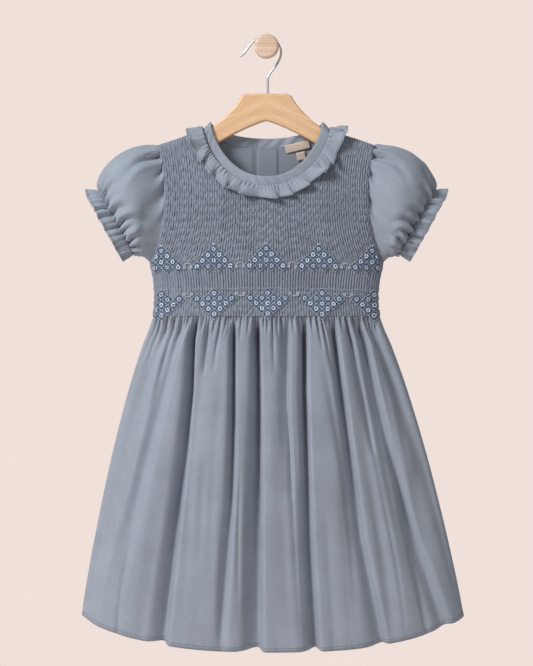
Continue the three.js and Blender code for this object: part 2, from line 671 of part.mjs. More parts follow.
// The bound neck edge: a folded band that stands on the panels' neck edge.
function neckBand() {
  const rows = 2;
  const stations = neckStations(BAND_COLUMNS, LAP.right, LAP.left);
  const start = 0.13; // share of the band's height that is left open as the seam
  const middle = [];
  for (let j = 0; j <= rows; j++)
    middle.push(
      stations.map((station) => {
        const edge = neckPlace(NECK.edge, station);
        const top = neckPlace(NECK.top, station);
        return edge.lerp(top, lerp(start, 1, j / rows));
      }),
    );
  const away = (point) => new THREE.Vector3(point.x, (point.y - HANG_Y) * 3, 40);
  const normals = gridNormals(middle, false, away);
  normals.forEach((line) => {
    for (const normal of [line[0], line.at(-1)]) normal.setX(0).normalize();
  });
  const thick = () => BAND_THICK / 2;
  return panelWall(moved(middle, normals, thick), moved(middle, normals, () => -thick()));
}

// A point on the smocked bodice beside the neck, moved out along its normal.
function ruffleBase(station, distance, lift) {
  const { side, x, z, drop } = neckPoint(NECK.edge, station.turn);
  const { halfWidth, shoulderZ: start } = NECK.edge;
  const fall = clamp((start - z) / drop, 0, 1);
  const outX = (NECK.sidePower / halfWidth) * (x / halfWidth) ** (NECK.sidePower - 1);
  const outZ = (NECK.dropPower / drop) * fall ** (NECK.dropPower - 1);
  const length = Math.hypot(outX, outZ);
  const px = x + (distance * outX) / length;
  const alongShoulder = SHOULDER_SLOPE * (px - x) * Math.max(0, 1 - 2 * Math.abs(station.turn - 1));
  const pz = Math.min(z - (distance * outZ) / length - alongShoulder, shoulderZ(px) - SEAM / 8);
  const point = bodicePoint(side, px, pz);
  point.addScaledVector(bodiceNormal(side, px, pz), lift);
  point.x *= station.hand;
  return point;
}

// The ruffle: gathered into the band's seam, lying on the bodice, waved at its free edge.
function neckRuffle() {
  const stations = neckStations(RUFFLE.columns, LAP.right, LAP.right + 1);
  const clear = CLOTH / 2 + RIB_HEIGHT + 3 * SEAM + RUFFLE.thick / 2;
  const middle = [];
  for (let j = 0; j <= RUFFLE.rows; j++) {
    const down = j / RUFFLE.rows;
    middle.push(
      stations.map((station) => {
        const atShoulder = 1 - Math.abs(station.turn - 1);
        const width = lerp(RUFFLE.frontWidth, RUFFLE.shoulderWidth, Math.max(0, atShoulder));
        const phase = 2 * Math.PI * RUFFLE.waves * station.share;
        const wave = RUFFLE.wave * (1 + Math.cos(phase)) * down;
        const lap = LAP.over * smooth(station.turn, 1.55, 1.8);
        return ruffleBase(station, width * down, clear + RUFFLE.lift * down + wave + lap);
      }),
    );
  }
  const away = (point) => new THREE.Vector3(point.x, (point.y - HANG_Y) * 4, 30);
  const normals = gridNormals(middle, false, away);
  const thick = () => RUFFLE.thick / 2;
  return panelWall(moved(middle, normals, thick), moved(middle, normals, () => -thick()));
}

// A small flat piece on the inside of the back, made from the panel's points moved inwards.
function insidePatch(patch) {
  const columns = 2;
  const tilt = THREE.MathUtils.degToRad(patch.tilt);
  const gridAt = (inset) =>
    [0, 1].map((j) => {
      const line = [];
      for (let i = 0; i <= columns; i++) {
        const across = patch.width * (i / columns - 0.5);
        const down = patch.height * (0.5 - j);
        const x = patch.x + across * Math.cos(tilt) - down * Math.sin(tilt);
        const z = patch.z + across * Math.sin(tilt) + down * Math.cos(tilt);
        const normal = bodiceNormal(BACK, x, z);
        line.push(bodicePoint(BACK, x, z).addScaledVector(normal, -inset));
      }
      return line;
    });
  return panelWall(gridAt(patch.inset), gridAt(patch.inset + patch.thick));
}

// A round button with a raised rim, on the outside of the lap.
function button() {
  const { radius, thick } = BUTTON;
  const profile = [
    [0, 0],
    [radius * 0.8, 0],
    [radius, thick * 0.45],
    [radius * 0.9, thick],
    [radius * 0.72, thick * 0.8],
    [0, thick * 0.72],
  ];
  const points = profile.map(([r, y]) => new THREE.Vector2(r, y));
  return outwardFacing(new THREE.LatheGeometry(points, 14).toNonIndexed());
}

// The hanger's outline, its bevel left off: a flat-topped middle and two curved, falling arms.
function hanger() {
  const b = HANGER_BEVEL;
  const shape = new THREE.Shape();
  shape.moveTo(0, -53.6 - b);
  shape.lineTo(24, -53.9 - b);
  shape.quadraticCurveTo(28, -54.4 - b, 29.4 - b, -57.2);
  shape.quadraticCurveTo(38, -73.5, 62 - b * 0.6, -91.8 - b);
  shape.quadraticCurveTo(68.5, -99.4 - b, 84, -104 - b);
  shape.lineTo(112, -113 - b);
  shape.quadraticCurveTo(119, -115.6 - b, 118.4, -122);
  shape.quadraticCurveTo(117, -128.5, 110, -128.6 + b);
  shape.quadraticCurveTo(80, -122.5 + b, 56, -109.4 + b);
  shape.quadraticCurveTo(28, -92.6 + b, 4, -84.4 + b);
  shape.quadraticCurveTo(0, -83.4 + b, -4, -84.4 + b);
  shape.quadraticCurveTo(-28, -92.6 + b, -56, -109.4 + b);
  shape.quadraticCurveTo(-80, -122.5 + b, -110, -128.6 + b);
  shape.quadraticCurveTo(-117, -128.5, -118.4, -122);
  shape.quadraticCurveTo(-119, -115.6 - b, -112, -113 - b);
  shape.lineTo(-84, -104 - b);
  shape.quadraticCurveTo(-68.5, -99.4 - b, -62 + b * 0.6, -91.8 - b);
  shape.quadraticCurveTo(-38, -73.5, -29.4 + b, -57.2);
  shape.quadraticCurveTo(-28, -54.4 - b, -24, -53.9 - b);
  shape.closePath();
  const geometry = new THREE.ExtrudeGeometry(shape, {
    depth: HANGER_THICK - 2 * b,
    bevelThickness: b,
    bevelSize: b,
    bevelSegments: 1,
    curveSegments: 5,
  });
  // The shape's plane becomes the garment's XZ plane, centred on the hanging plane.
  geometry.translate(0, 0, -(HANGER_THICK - 2 * b) / 2);
  geometry.rotateX(Math.PI / 2);
  geometry.translate(0, HANG_Y, 0);
  return outwardFacing(geometry.index ? geometry.toNonIndexed() : geometry);
}

// The wire hook: up from the hanger, out to the right, over the knob's stem and down to its tip.
function hook() {
  const at = (x, z) => new THREE.Vector3(x, HANG_Y, z);
  const onBend = (degrees) => {
    const angle = THREE.MathUtils.degToRad(degrees);
    return at(HOOK_BEND.x + HOOK_BEND.r * Math.cos(angle), HOOK_BEND.z + HOOK_BEND.r * Math.sin(angle));
  };
  const route = [
    at(HOOK_STEM_X, -53.3),
    at(HOOK_STEM_X, -44),
    at(HOOK_STEM_X + 0.3, -34.5),
    at(HOOK_STEM_X + 4.2, -28.2),
    at(HOOK_STEM_X + 9.6, -21),
    ...[-18, 8, 34, 60, 86, 108, 126].map(onBend),
    at(-17.6, 3.6),
    at(-21.6, -1.6),
    at(-25.4, -7.0),
    at(-30.6, -11.4),
  ];
  const section = new THREE.Shape();
  const sides = 6;
  for (let k = 0; k < sides; k++) {
    const angle = (2 * Math.PI * k) / sides;
    const [x, y] = [HOOK_R * Math.cos(angle), HOOK_R * Math.sin(angle)];
    if (k === 0) section.moveTo(x, y);
    else section.lineTo(x, y);
  }
  section.closePath();
  const geometry = new THREE.ExtrudeGeometry(section, {
    steps: 30,
    bevelEnabled: false,
    extrudePath: new THREE.CatmullRomCurve3(route, false, "centripetal"),
  });
  return outwardFacing(geometry.index ? geometry.toNonIndexed() : geometry);
}

// The turned knob: a plain stem from the wall and a flat round head.
function knob() {
  const { stemR, headR, headBack, length, edge } = KNOB;
  const profile = [
    [0, 0],
    [stemR, 0],
    [stemR, -length + 14],
    [stemR + 1.4, headBack],
    [headR - 1.2, headBack],
    [headR, headBack - edge],
    [headR, -length + edge],
    [headR - 0.8, -length + 0.7],
    [headR - edge, -length],
    [0, -length],
  ];
  const points = profile.map(([r, y]) => new THREE.Vector2(r, y));
  return outwardFacing(new THREE.LatheGeometry(points, KNOB_SIDES).toNonIndexed());
}

const material = (color, roughness, metalness = 0) =>
  new THREE.MeshStandardMaterial({ color, roughness, metalness });
const cotton = material("#8f96a3", 0.85);
const smockedCotton = material("#7b828e", 0.85);
const labelTape = material("#c9b6a3", 0.8);
const beech = material("#e2b88d", 0.5);
const knobWood = material("#ddbda5", 0.55);
const wire = material("#b9bcc0", 0.3, 1);
const shell = material("#a7adb6", 0.4);

const dress = new THREE.Group();
function add(name, geometry, finish) {
  const mesh = new THREE.Mesh(geometry, finish);
  mesh.name = name;
  dress.add(mesh);
  return mesh;
}

add("front_bodice", frontBodice(), smockedCotton);
add("back_bodice_left", backBodice(-1), cotton);
add("back_bodice_right", backBodice(1), cotton);
add("front_skirt", skirtPanel(FRONT, FRONT_SKIRT), cotton);
add("back_skirt", skirtPanel(BACK, BACK_SKIRT), cotton);
add("sleeve_left", sleeve(-1), cotton);
add("sleeve_right", sleeve(1), cotton);
add("neck_band", neckBand(), cotton);
add("neck_ruffle", neckRuffle(), cotton);
add("neck_label", insidePatch(LABEL), labelTape);
add("size_tab", insidePatch(SIZE_TAB), labelTape);
BUTTON.heights.forEach((z, k) => {
  const normal = bodiceNormal(BACK, BUTTON.x, z);
  const mesh = add(`button_${k + 1}`, button(), shell);
  mesh.position.copy(bodicePoint(BACK, BUTTON.x, z));
  mesh.position.addScaledVector(normal, LAP.over + CLOTH / 2 + BUTTON.gap);
  mesh.quaternion.setFromUnitVectors(new THREE.Vector3(0, 1, 0), normal);
});
add("hanger", hanger(), beech);
add("hook", hook(), wire);
add("wall_knob", knob(), knobWood);

export default dress;
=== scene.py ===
# A small child's smocked dress on a wooden hanger, hung by its wire hook from a round wall knob.
# Shapes are worked out in millimetres in the garment's own frame: +Z up, the wall at y = 0, the
# dress faces -Y and hangs in the plane HANG_Y. Meshes are written in metres.
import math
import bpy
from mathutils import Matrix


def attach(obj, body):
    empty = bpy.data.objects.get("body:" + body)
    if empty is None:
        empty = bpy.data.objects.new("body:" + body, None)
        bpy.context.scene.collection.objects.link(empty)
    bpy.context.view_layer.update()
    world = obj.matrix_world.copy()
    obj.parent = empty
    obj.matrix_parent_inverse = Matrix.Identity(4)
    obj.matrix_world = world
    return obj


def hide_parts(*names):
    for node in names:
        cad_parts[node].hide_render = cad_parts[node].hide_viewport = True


bl_info = {
    "name": "Smocked dress on a hanger",
    "version": (1, 0, 0),
    "blender": (4, 5, 0),
    "location": "View3D > Sidebar > Dress",
    "description": "Builds a child's smocked dress with its embroidery, stitching, hanger and knob",
    "category": "Mesh",
}

from collections import namedtuple

import bpy
import numpy as np
from mathutils import Vector
from mathutils.geometry import tessellate_polygon

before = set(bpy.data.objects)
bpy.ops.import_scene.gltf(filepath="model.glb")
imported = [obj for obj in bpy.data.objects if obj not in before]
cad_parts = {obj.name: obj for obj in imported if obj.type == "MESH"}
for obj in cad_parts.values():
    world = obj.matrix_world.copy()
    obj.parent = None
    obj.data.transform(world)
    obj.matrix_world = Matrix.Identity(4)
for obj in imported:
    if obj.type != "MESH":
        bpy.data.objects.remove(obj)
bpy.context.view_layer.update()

MM = 0.001
UV_MM = 100.0  # mm of cloth for one unit of the cloth coordinates

# Rows and columns of the finest grids, rounds that fit a grid to its panel, and seeds of what varies
FRONT_ROWS, FRONT_INSIDE_ROWS, BACK_ROWS, BACK_COLUMNS = 202, 44, 84, 110
SLEEVE_TURNS, BAND_COLUMNS, RUFFLE_ROWS, RUFFLE_COLUMNS = 360, 341, 19, 561
FIT_ROUNDS = 14
SEEDS = {
    "valleys": 11, "pleats": 5, "front": 3, "backs": 8, "front_skirt": 61, "back_skirt": 73,
    "left": 31, "right": 47, "ruffle": 21, "embroidery": 41,
}

# Cloth and body
CLOTH = 1.2
HANG_Y = -40.0
FRONT, BACK = -1, 1
SHOULDER_Z, SHOULDER_X, SHOULDER_SLOPE, SHOULDER_ROLL = -92.0, 62.0, 0.35, 8.0
SIDES_CLOSE_Z, FULL_BELOW = -150.0, 95.0  # where the sides begin to close; full depth below the shoulder
UNDERARM_Z = -248.4
WAIST_Z = -310.0
HEM_CENTRE_Z, HEM_SIDE_Z, HEM_CURVE = -693.0, -653.0, 2.6
SKIRT_LEAN, WAIST_TUCK = 7.2, 0.5  # the skirt swings a little to the right and its top is tucked in
HEM_DRAW = 0.33  # how far a fold draws the hem up, for each mm of its depth
HEM_OUT, HEM_IN = 0.22, 0.5  # thickness that a turned hem adds outside and inside
EDGE_IN = 0.01  # panels end this far inside the garment's half width

# Half widths of the bodice: height, and the armhole seam there
ARMHOLE = np.array([
    (-113.9, 124.9), (-130, 121.2), (-150, 118.3), (-176, 117.0),
    (-200, 118.6), (-216, 121.6), (-235, 127.6), (UNDERARM_Z, 133.4),
])
# Height, half width, depth of the front and of the back
BODICE = np.array([
    (-60, 152, 15, 14), (-114, 151, 20, 18), (-180, 148, 25, 21), (-216, 141, 26, 22),
    (-235, 136, 26, 22), (UNDERARM_Z, 133.6, 25.5, 21.5), (-268, 129.2, 25, 21),
    (-291, 127.8, 25, 21), (-310.6, 129.6, 26, 21.5),
])
SKIRT = np.array([
    (WAIST_Z, 129.6, 26, 21.5), (-326, 135.2, 29, 23), (-343, 142.4, 31, 24.5),
    (-394, 159.5, 36, 27), (-463, 178.8, 40, 29), (-532, 195.2, 42, 30.5),
    (-601, 209.6, 43, 31.5), (-653, 219.0, 44, 32), (-700, 226.0, 44.5, 32),
])
WIDTH, FRONT_DEPTH, BACK_DEPTH = 1, 2, 3  # columns of the two tables above

# Neck curves: superellipses through the shoulder points
NeckCurve = namedtuple("NeckCurve", "half_width shoulder_z front_drop back_drop depth_share")
NECK_EDGE = NeckCurve(72.2, -95.6, 65, 20, 1)
NECK_TOP = NeckCurve(63.8, -86.4, 63, 18.5, 0.95)
SIDE_POWER, DROP_POWER = 2.2, 1.5
BAND_THICK = 2.2
BAND_START = -0.1  # the band starts just below the neck edge and encloses it

# Back opening: the left panel laps outwards over the right one
LAP_LEFT, LAP_RIGHT, LAP_OVER, LAP_BAND_OVER, LAP_RAMP = -9.5, 12.0, 1.7, 2.7, 9.0
PLACKET_X, PLACKET_INNER_X = 9.4, 12.5
BUTTON_X, BUTTON_HEIGHTS, BUTTON_R, BUTTON_THICK, BUTTON_GAP = 1.5, (-147, -205, -263), 5.2, 2.2, 0.5

# Smocking: the plain smocked strip lies between the two bands of embroidery
STRIP_TOP_Z, STRIP_BOTTOM_Z = -258.0, -277.0
PLEAT_PHASES = np.array([0, 0.17, 0.38, 0.62, 0.83])  # points across a pleat, from valley to valley
CLOSED_FLOOR, OPEN_FLOOR = 0.6, -0.12  # height of a valley drawn together and open, in pleat heights
UNDER_THREADS, UNDER_RUFFLE = 0.82, 0.6  # share of a pleat's height under the embroidery and the ruffle

# Ruffle: clearance of its middle surface over the bodice's, and its widths
RUFFLE_THICK, RUFFLE_CLEAR, RUFFLE_LIFT = 1.0, 3.4, 1.4
RUFFLE_FRONT, RUFFLE_SHOULDER = 16.5, 18.5

# Sleeve rings: share of the way, upper and lower points of the outline, half depth
SLEEVE = np.array([
    (0, 125.4, -113.9, 133.4, -248.4, 13), (0.15, 135.7, -112.6, 137.4, -243.6, 22),
    (0.35, 154.1, -116.4, 141.2, -241.2, 28), (0.55, 171.4, -125.6, 144.2, -240.2, 29),
    (0.75, 186.3, -140.8, 147.6, -239.2, 25), (0.9, 192.6, -157.4, 150.2, -238.2, 18),
    (1, 189.2, -167.6, 152.8, -237.4, 12.5), (1.12, 199, -167.4, 159.5, -241, 15.5),
    (1.25, 208, -169, 166.6, -244.6, 17.5),
])
SLEEVE_END = 1.25
ARMHOLE_BLEND, SLEEVE_GAP, SLEEVE_TUCK = 0.3, -0.4, 0.9

# Labels inside the back: place, size, tilt in degrees, thickness, distance in from the panel
Patch = namedtuple("Patch", "x z width height tilt thick inset")
LABEL = Patch(36, -114.2, 29, 9.4, 13, 0.7, 1.7)
SIZE_TAB = Patch(40, -124.9, 10.4, 9.6, 13, 0.7, 1.4)

# Hanger, hook and knob
HANGER_THICK, HANGER_ROUND = 10.0, 2.6
HOOK_R, HOOK_STEM_X = 1.3, 1.6
BEND_X, BEND_Z, BEND_R = -1.0, -6.0, 17.8
KNOB_STEM_R, KNOB_HEAD_R, KNOB_HEAD_BACK, KNOB_LENGTH, KNOB_EDGE = 10.0, 14.2, -47.0, 58.0, 3.4

# A fold of the skirt: the points (z, x) that its valley follows, its depth, the half widths of its
# left and right flank at the waist, how much wider they are at the hem, and where it has died out.
Fold = namedtuple("Fold", "path depth left right widen end")
FRONT_FOLDS = [
    Fold([(-313, -113), (-360, -131.9), (-613, -199.8)], 6, 9, 7, 2.2, -700),
    Fold([(-313, -96), (-360, -111.2), (-567, -160.7)], 8, 8, 6, 2.0, -640),
    Fold([(-313, -80.8), (-337, -84.8), (-394, -87), (-475, -95), (-567, -106.5), (-648, -115.8)],
         17, 5, 2.6, 2.4, -900),
    Fold([(-313, -65.8), (-360, -70.5)], 7, 3.6, 2, 1.2, -378),
    Fold([(-313, -37.6), (-429, -38.2), (-521, -41), (-567, -44.5), (-636, -49)], 15, 3.2, 2.6, 2.2, -690),
    Fold([(-313, -9.5), (-406, -8.6), (-567, -9.8), (-690, -11)], 18, 5, 2.2, 2.8, -1100),
    Fold([(-313, 24.5), (-406, 23.4), (-498, 28)], 10, 8, 2.4, 1.6, -520),
    Fold([(-313, 44.4), (-394, 44), (-475, 46.3), (-567, 48.6), (-648, 53.2)], 17, 4.2, 2.6, 2.2, -1000),
    Fold([(-313, 77.5), (-337, 79.7), (-394, 86.6), (-475, 97), (-567, 108.4), (-648, 124.5)],
         15, 5, 2.6, 2.4, -800),
    Fold([(-313, 92), (-337, 98), (-429, 116.5)], 7, 5, 2.4, 1.6, -470),
    Fold([(-313, 104), (-337, 113), (-394, 125.7), (-475, 145.2), (-567, 170.5), (-648, 199.3)],
         11, 6, 3, 2.4, -760),
    Fold([(-313, 118), (-337, 128), (-394, 151), (-475, 178.6), (-567, 203)], 5, 6, 4, 2, -640),
]
BACK_FOLDS = [
    Fold([(-313, -113), (-475, -163), (-690, -200)], 4.5, 8, 8, 2, -760),
    Fold([(-313, -90), (-475, -128), (-690, -157)], 11, 6, 4, 2.2, -900),
    Fold([(-313, -67), (-475, -91)], 7, 5, 5, 2, -560),
    Fold([(-313, -46), (-475, -60), (-690, -72)], 13, 4, 7, 2.2, -900),
    Fold([(-313, -20), (-475, -29)], 9, 5, 5, 2, -640),
    Fold([(-313, 5), (-475, 6), (-690, 7)], 13, 8, 4, 2.2, -1000),
    Fold([(-313, 31), (-475, 40)], 8, 5, 5, 2, -580),
    Fold([(-313, 54), (-475, 73), (-690, 88)], 12, 4, 7, 2.2, -900),
    Fold([(-313, 80), (-475, 114), (-690, 140)], 10, 7, 4, 2.2, -800),
    Fold([(-313, 106), (-475, 154), (-690, 190)], 7, 7, 7, 2, -700),
]
SOFT_FOLDS = 70  # broad folds of a panel, between the ones that are named
# Short gathers under the waist: place across at the waist in mm, and length
FRONT_GATHERS = [
    (-126, 26), (-121.6, 30), (-113.5, 18), (-104.9, 52), (-96.8, 15), (-89, 12), (-77.9, 17),
    (-72, 10), (-58.5, 12), (-52.2, 32), (-45.5, 10), (-42.2, 13), (-33, 9), (-28.8, 15),
    (-20.4, 11), (-14, 26), (-3.5, 8), (1, 10), (6.4, 32), (11.5, 12), (16.4, 19), (29.5, 10),
    (36, 21), (40, 9), (50.5, 9), (56.7, 19), (62.2, 33), (66.5, 11), (70.5, 15), (83.5, 9),
    (90, 25), (98, 14), (106, 21), (111, 12), (115.3, 17), (122.2, 15),
]

# Creases of a sleeve: turn at the start and at the end in degrees, share along the sleeve at the
# start and at the end, depth and half width in mm. Turn 0 is the shoulder, 90 the front.
Crease = namedtuple("Crease", "turn turn_end at at_end depth width")
# Factors on the tables below: depth, reach from the elastic, and widths at the elastic and the head
CREASE_GAIN, CREASE_REACH, ELASTIC_WIDTH, HEAD_WIDTH = 1.7, 1.55, 0.6, 0.62
SLEEVE_CENTRE = (160.0, HANG_Y, -195.0)
HEAD_CREASES = [
    Crease(6, 2, 0, 0.16, 2.0, 2.4),
    Crease(21, 12, 0, 0.27, 3.4, 3.2),
    Crease(33, 58, 0, 0.58, 4.0, 4.4),
    Crease(48, 70, 0, 0.2, 3.2, 3.6),
    Crease(61, 80, 0, 0.12, 2.0, 3.0),
    Crease(74, 104, 0, 0.3, 3.2, 9.0),
]
ELASTIC_CREASES = [
    Crease(14, 17, 1, 0.84, 2.6, 2.6),
    Crease(30, 34, 1, 0.7, 3.4, 4.4),
    Crease(47, 56, 1, 0.76, 3.0, 3.2),
    Crease(62, 66, 1, 0.86, 2.4, 2.4),
    Crease(76, 95, 1, 0.66, 3.8, 4.0),
    Crease(88, 93, 1, 0.8, 2.6, 2.6),
    Crease(98, 114, 1, 0.2, 4.2, 4.0),
    Crease(110, 117, 1, 0.5, 3.0, 3.2),
    Crease(121, 119, 1, 0.8, 2.4, 2.6),
    Crease(133, 127, 1, 0.36, 4.0, 4.0),
    Crease(146, 143, 1, 0.2, 3.6, 3.6),
    Crease(163, 160, 1, 0.7, 2.8, 3.0),
]

# Stage, in metres: the camera stands level in front of the dress, as the photograph's does
CAMERA_PLACE, CAMERA_LENS, CAMERA_SENSOR, CAMERA_REACH = (0, -4.54, -0.329), 211.5, 36, 50
LIGHT_AIM = (0, 0, -0.35)
LIGHTS = {"key": ((-1.9, -1.7, 1.3), 0.9), "fill": ((2.0, -2.6, 0.2), 2.0), "back": ((0.9, 2.6, 1.2), 1.6)}
FLOOR_R, FLOOR_Z, FLOOR_SIDES = 1.5, -1.0, 64

# Embroidery: a lattice of diamonds. Half width and half height of a diamond, and the places of
# the peaks, valleys and rows, charted in a repeat of nine half widths.
CELL_X, CELL_Z = 6.55, 6.45
FLOSS_LIFT = 3.5  # height over the bodice's middle surface
BAND_DROP, BAND_HALF = 3.45, 149.5  # the bands fall this far over this width from the middle
# Rings of stitches in a diamond: share of its size, share of pale thread, width, stitches on a side
RINGS = ((1.0, 0.5, 0.75, 4), (0.8, 0.02, 1.35, 4), (0.58, 0.05, 1.0, 2))
PETALS, PETAL_REACH, PETAL_LENGTH, PETAL_WIDTH = 6, 1.75, 2.7, 1.7
SMALL_ROSETTE, SMALL_PALE = 0.7, 0.85  # the rosettes between two diamonds: size, share of pale thread
DOT_Z, DOT_PITCH = -277.7, 2.95  # the line of small stitches over the lower band
UPPER_APEX_Z, LOWER_TOP_Z = -232.4, -283.0
PEAKS = (-119.4, -60.0, -0.4, 59.4, 120.0)
LOWER_CENTRES = (-119.0, -59.4, 1.5, 63.2, 122.0)
UPPER_ROWS = [
    # row, places across in half widths, size of the rosettes, share of pale thread
    (0, (0,), 0.85, 0.9),
    (1, (-1, 1), 1.0, 1.0),
    (2, (-2, 0, 2), 1.0, 1.0),
    (3, (-3, 3), 1.0, 1.0),
    (3, (-1, 1), 0.9, 0.75),
]
LOWER_ROWS = [
    (0, (0,), 0.95, 0.9),
    (1, (-3, -1, 1, 3), 0.95, 0.8),
    (2, (-2, 0, 2), 1.0, 1.0),
    (3, (-1, 1), 1.0, 1.0),
    (4, (0,), 1.0, 1.0),
]


def linear(colour):
    """An sRGB hex colour as Blender's linear values."""
    shares = [int(colour[k:k + 2], 16) / 255 for k in (1, 3, 5)]
    return [s / 12.92 if s <= 0.04045 else ((s + 0.055) / 1.055) ** 2.4 for s in shares]


def lerp(a, b, t):
    return a + (b - a) * t


def smooth(value, start, end):
    t = np.clip((value - start) / (end - start), 0, 1)
    return t * t * (3 - 2 * t)


def through(rows, column, place):
    """A table's column at places along its first column, on a smooth curve through the rows."""
    order = np.argsort(rows[:, 0])
    keys, values = rows[order, 0], rows[order, column]
    place = np.clip(place, keys[0], keys[-1])
    slopes = np.empty(len(keys))
    slopes[1:-1] = (values[2:] - values[:-2]) / (keys[2:] - keys[:-2])
    slopes[0] = (values[1] - values[0]) / (keys[1] - keys[0])
    slopes[-1] = (values[-1] - values[-2]) / (keys[-1] - keys[-2])
    k = np.clip(np.searchsorted(keys, place), 1, len(keys) - 1)
    run = keys[k] - keys[k - 1]
    t = (place - keys[k - 1]) / run
    return (
        values[k - 1] * (1 + 2 * t) * (1 - t) ** 2
        + values[k] * t * t * (3 - 2 * t)
        + run * (slopes[k - 1] * t * (1 - t) ** 2 + slopes[k] * t * t * (t - 1))
    )


def waves(x, z, seed, lengths, height):
    """Soft unevenness of hanging cloth: a few crossed waves of the given lengths in mm."""
    rng = np.random.default_rng(seed)
    total = 0
    for length in lengths:
        for _ in range(3):
            angle, phase = rng.uniform(0, 2 * np.pi, 2)
            across = x * math.cos(angle) + z * math.sin(angle) * 0.6
            total = total + np.sin(2 * np.pi * across / length + phase)
    return height * total / (3 * len(lengths))


# The bodice's middle surface

def shoulder_z(x):
    out = np.where(np.abs(x) < SHOULDER_X, x * x / (2 * SHOULDER_X) + SHOULDER_X / 2, np.abs(x))
    return SHOULDER_Z - SHOULDER_SLOPE * (out - SHOULDER_X)


def bodice_depth(side, x, z):
    below = np.maximum(0, shoulder_z(x) - z)
    rolled = np.minimum(below, SHOULDER_ROLL)
    rim = np.sqrt(rolled * (2 * SHOULDER_ROLL - rolled))
    lens = np.sqrt(np.maximum(0, 1 - (x / through(BODICE, WIDTH, z)) ** 2))
    full = through(BODICE, FRONT_DEPTH if side == FRONT else BACK_DEPTH, z)
    closing = smooth(-z, -SIDES_CLOSE_Z, -UNDERARM_Z - 6)
    return rim * lerp(1, lens, closing) + (full - SHOULDER_ROLL) * smooth(below, 0, FULL_BELOW) * lens


def bodice_point(side, x, z):
    depth = np.maximum(bodice_depth(side, x, z), 0)
    return np.stack(np.broadcast_arrays(x, HANG_Y + side * depth, z), axis=-1).astype(float)


def bodice_normal(side, x, z):
    step = 0.05
    across = (bodice_depth(side, x + step, z) - bodice_depth(side, x - step, z)) / (2 * step)
    down = (bodice_depth(side, x, z + step) - bodice_depth(side, x, z - step)) / (2 * step)
    normal = np.stack(np.broadcast_arrays(-across, float(side), -down), axis=-1)
    return unit(normal)


def unit(vectors):
    length = np.linalg.norm(vectors, axis=-1, keepdims=True)
    return vectors / np.maximum(length, 1e-9)


def bodice_edge(z):
    return np.where(z > UNDERARM_Z, through(ARMHOLE, 1, z), through(BODICE, WIDTH, z) - EDGE_IN)


class Section:
    """Places across a panel by their share of its cloth's half width, at any height."""

    def __init__(self, top, bottom, edge_of, depth_of, heights=160, samples=128):
        self.top, self.bottom = top, bottom
        z = np.linspace(top, bottom, heights)
        turn = np.sin(np.linspace(0, np.pi / 2, samples))
        x = edge_of(z)[:, None] * turn[None, :]
        depth = depth_of(x, z[:, None])
        steps = np.hypot(np.diff(x, axis=1), np.diff(depth, axis=1))
        lengths = np.concatenate([np.zeros((heights, 1)), np.cumsum(steps, axis=1)], axis=1)
        self.total = lengths[:, -1]
        self.shares = np.linspace(0, 1, samples)
        self.x = np.array([np.interp(self.shares, run / run[-1], row) for run, row in zip(lengths, x)])

    def x_at(self, share, z):
        share, z = np.broadcast_arrays(share, z)
        rows, columns = self.x.shape
        row = np.clip((z - self.top) / (self.bottom - self.top), 0, 1) * (rows - 1)
        place = np.clip(np.abs(share), 0, 1) * (columns - 1)
        j = np.minimum(row.astype(int), rows - 2)
        i = np.minimum(place.astype(int), columns - 2)
        v, u = row - j, place - i
        upper = lerp(self.x[j, i], self.x[j, i + 1], u)
        lower = lerp(self.x[j + 1, i], self.x[j + 1, i + 1], u)
        return np.sign(share) * lerp(upper, lower, v)

    def share_at(self, x, z):
        shares = np.linspace(-1, 1, 401)
        x = np.atleast_1d(x)
        return np.array([np.interp(value, self.x_at(shares, z), shares) for value in x])


BODICE_SECTIONS = {
    side: Section(-80, WAIST_Z - 1, bodice_edge, lambda x, z, side=side: bodice_depth(side, x, z))
    for side in (FRONT, BACK)
}


def skirt_depth(side, x, z):
    width = through(SKIRT, WIDTH, z)
    lens = np.sqrt(np.maximum(0, 1 - np.abs(x / width) ** 2.2))
    return through(SKIRT, FRONT_DEPTH if side == FRONT else BACK_DEPTH, z) * lens


SKIRT_SECTIONS = {
    side: Section(
        WAIST_Z, HEM_CENTRE_Z - 2, lambda z: through(SKIRT, WIDTH, z) - EDGE_IN,
        lambda x, z, side=side: skirt_depth(side, x, z),
    )
    for side in (FRONT, BACK)
}


def bodice_top(side, x):
    """Top of a bodice panel: the neck's edge near the middle, and the shoulder line outside it."""
    inside = 1 - (np.abs(x) / NECK_EDGE.half_width) ** SIDE_POWER
    drop = NECK_EDGE.front_drop if side == FRONT else NECK_EDGE.back_drop
    neck = NECK_EDGE.shoulder_z - drop * np.maximum(inside, 0) ** (1 / DROP_POWER)
    shoulder = shoulder_z(x)
    return np.where(inside <= 0, shoulder, np.minimum(neck, shoulder))


def row_drops(rows, rolled=8, roll_length=5.0):
    """Distances of a panel's rows below its top: close together where the cloth rolls over."""
    near = roll_length * (np.arange(rolled) / rolled) ** 1.8
    return near, np.linspace(0, 1, rows - rolled + 1), roll_length


def bodice_grid(side, shares, rows):
    """The middle surface's x and z for columns at the given shares, from the top to the waist."""
    near, even, roll_length = row_drops(rows)
    shares = np.broadcast_to(shares, (rows + 1, np.shape(shares)[-1]))
    z = np.full(shares.shape, UNDERARM_Z)
    for _ in range(FIT_ROUNDS):
        x = BODICE_SECTIONS[side].x_at(shares, z)
        top = bodice_top(side, x)
        rolled = top[:len(near)] - near[:, None]
        lower = lerp(top[len(near):] - roll_length, WAIST_Z, even[:, None])
        z = np.concatenate([rolled, lower])
    return x, z


def close_sides(middle, ends):
    """Brings a bodice panel's edges below the armhole together at the side seam."""
    for end in ends:
        low = middle[:, end, 2] <= UNDERARM_Z
        middle[low, end, 1] = HANG_Y
    return middle


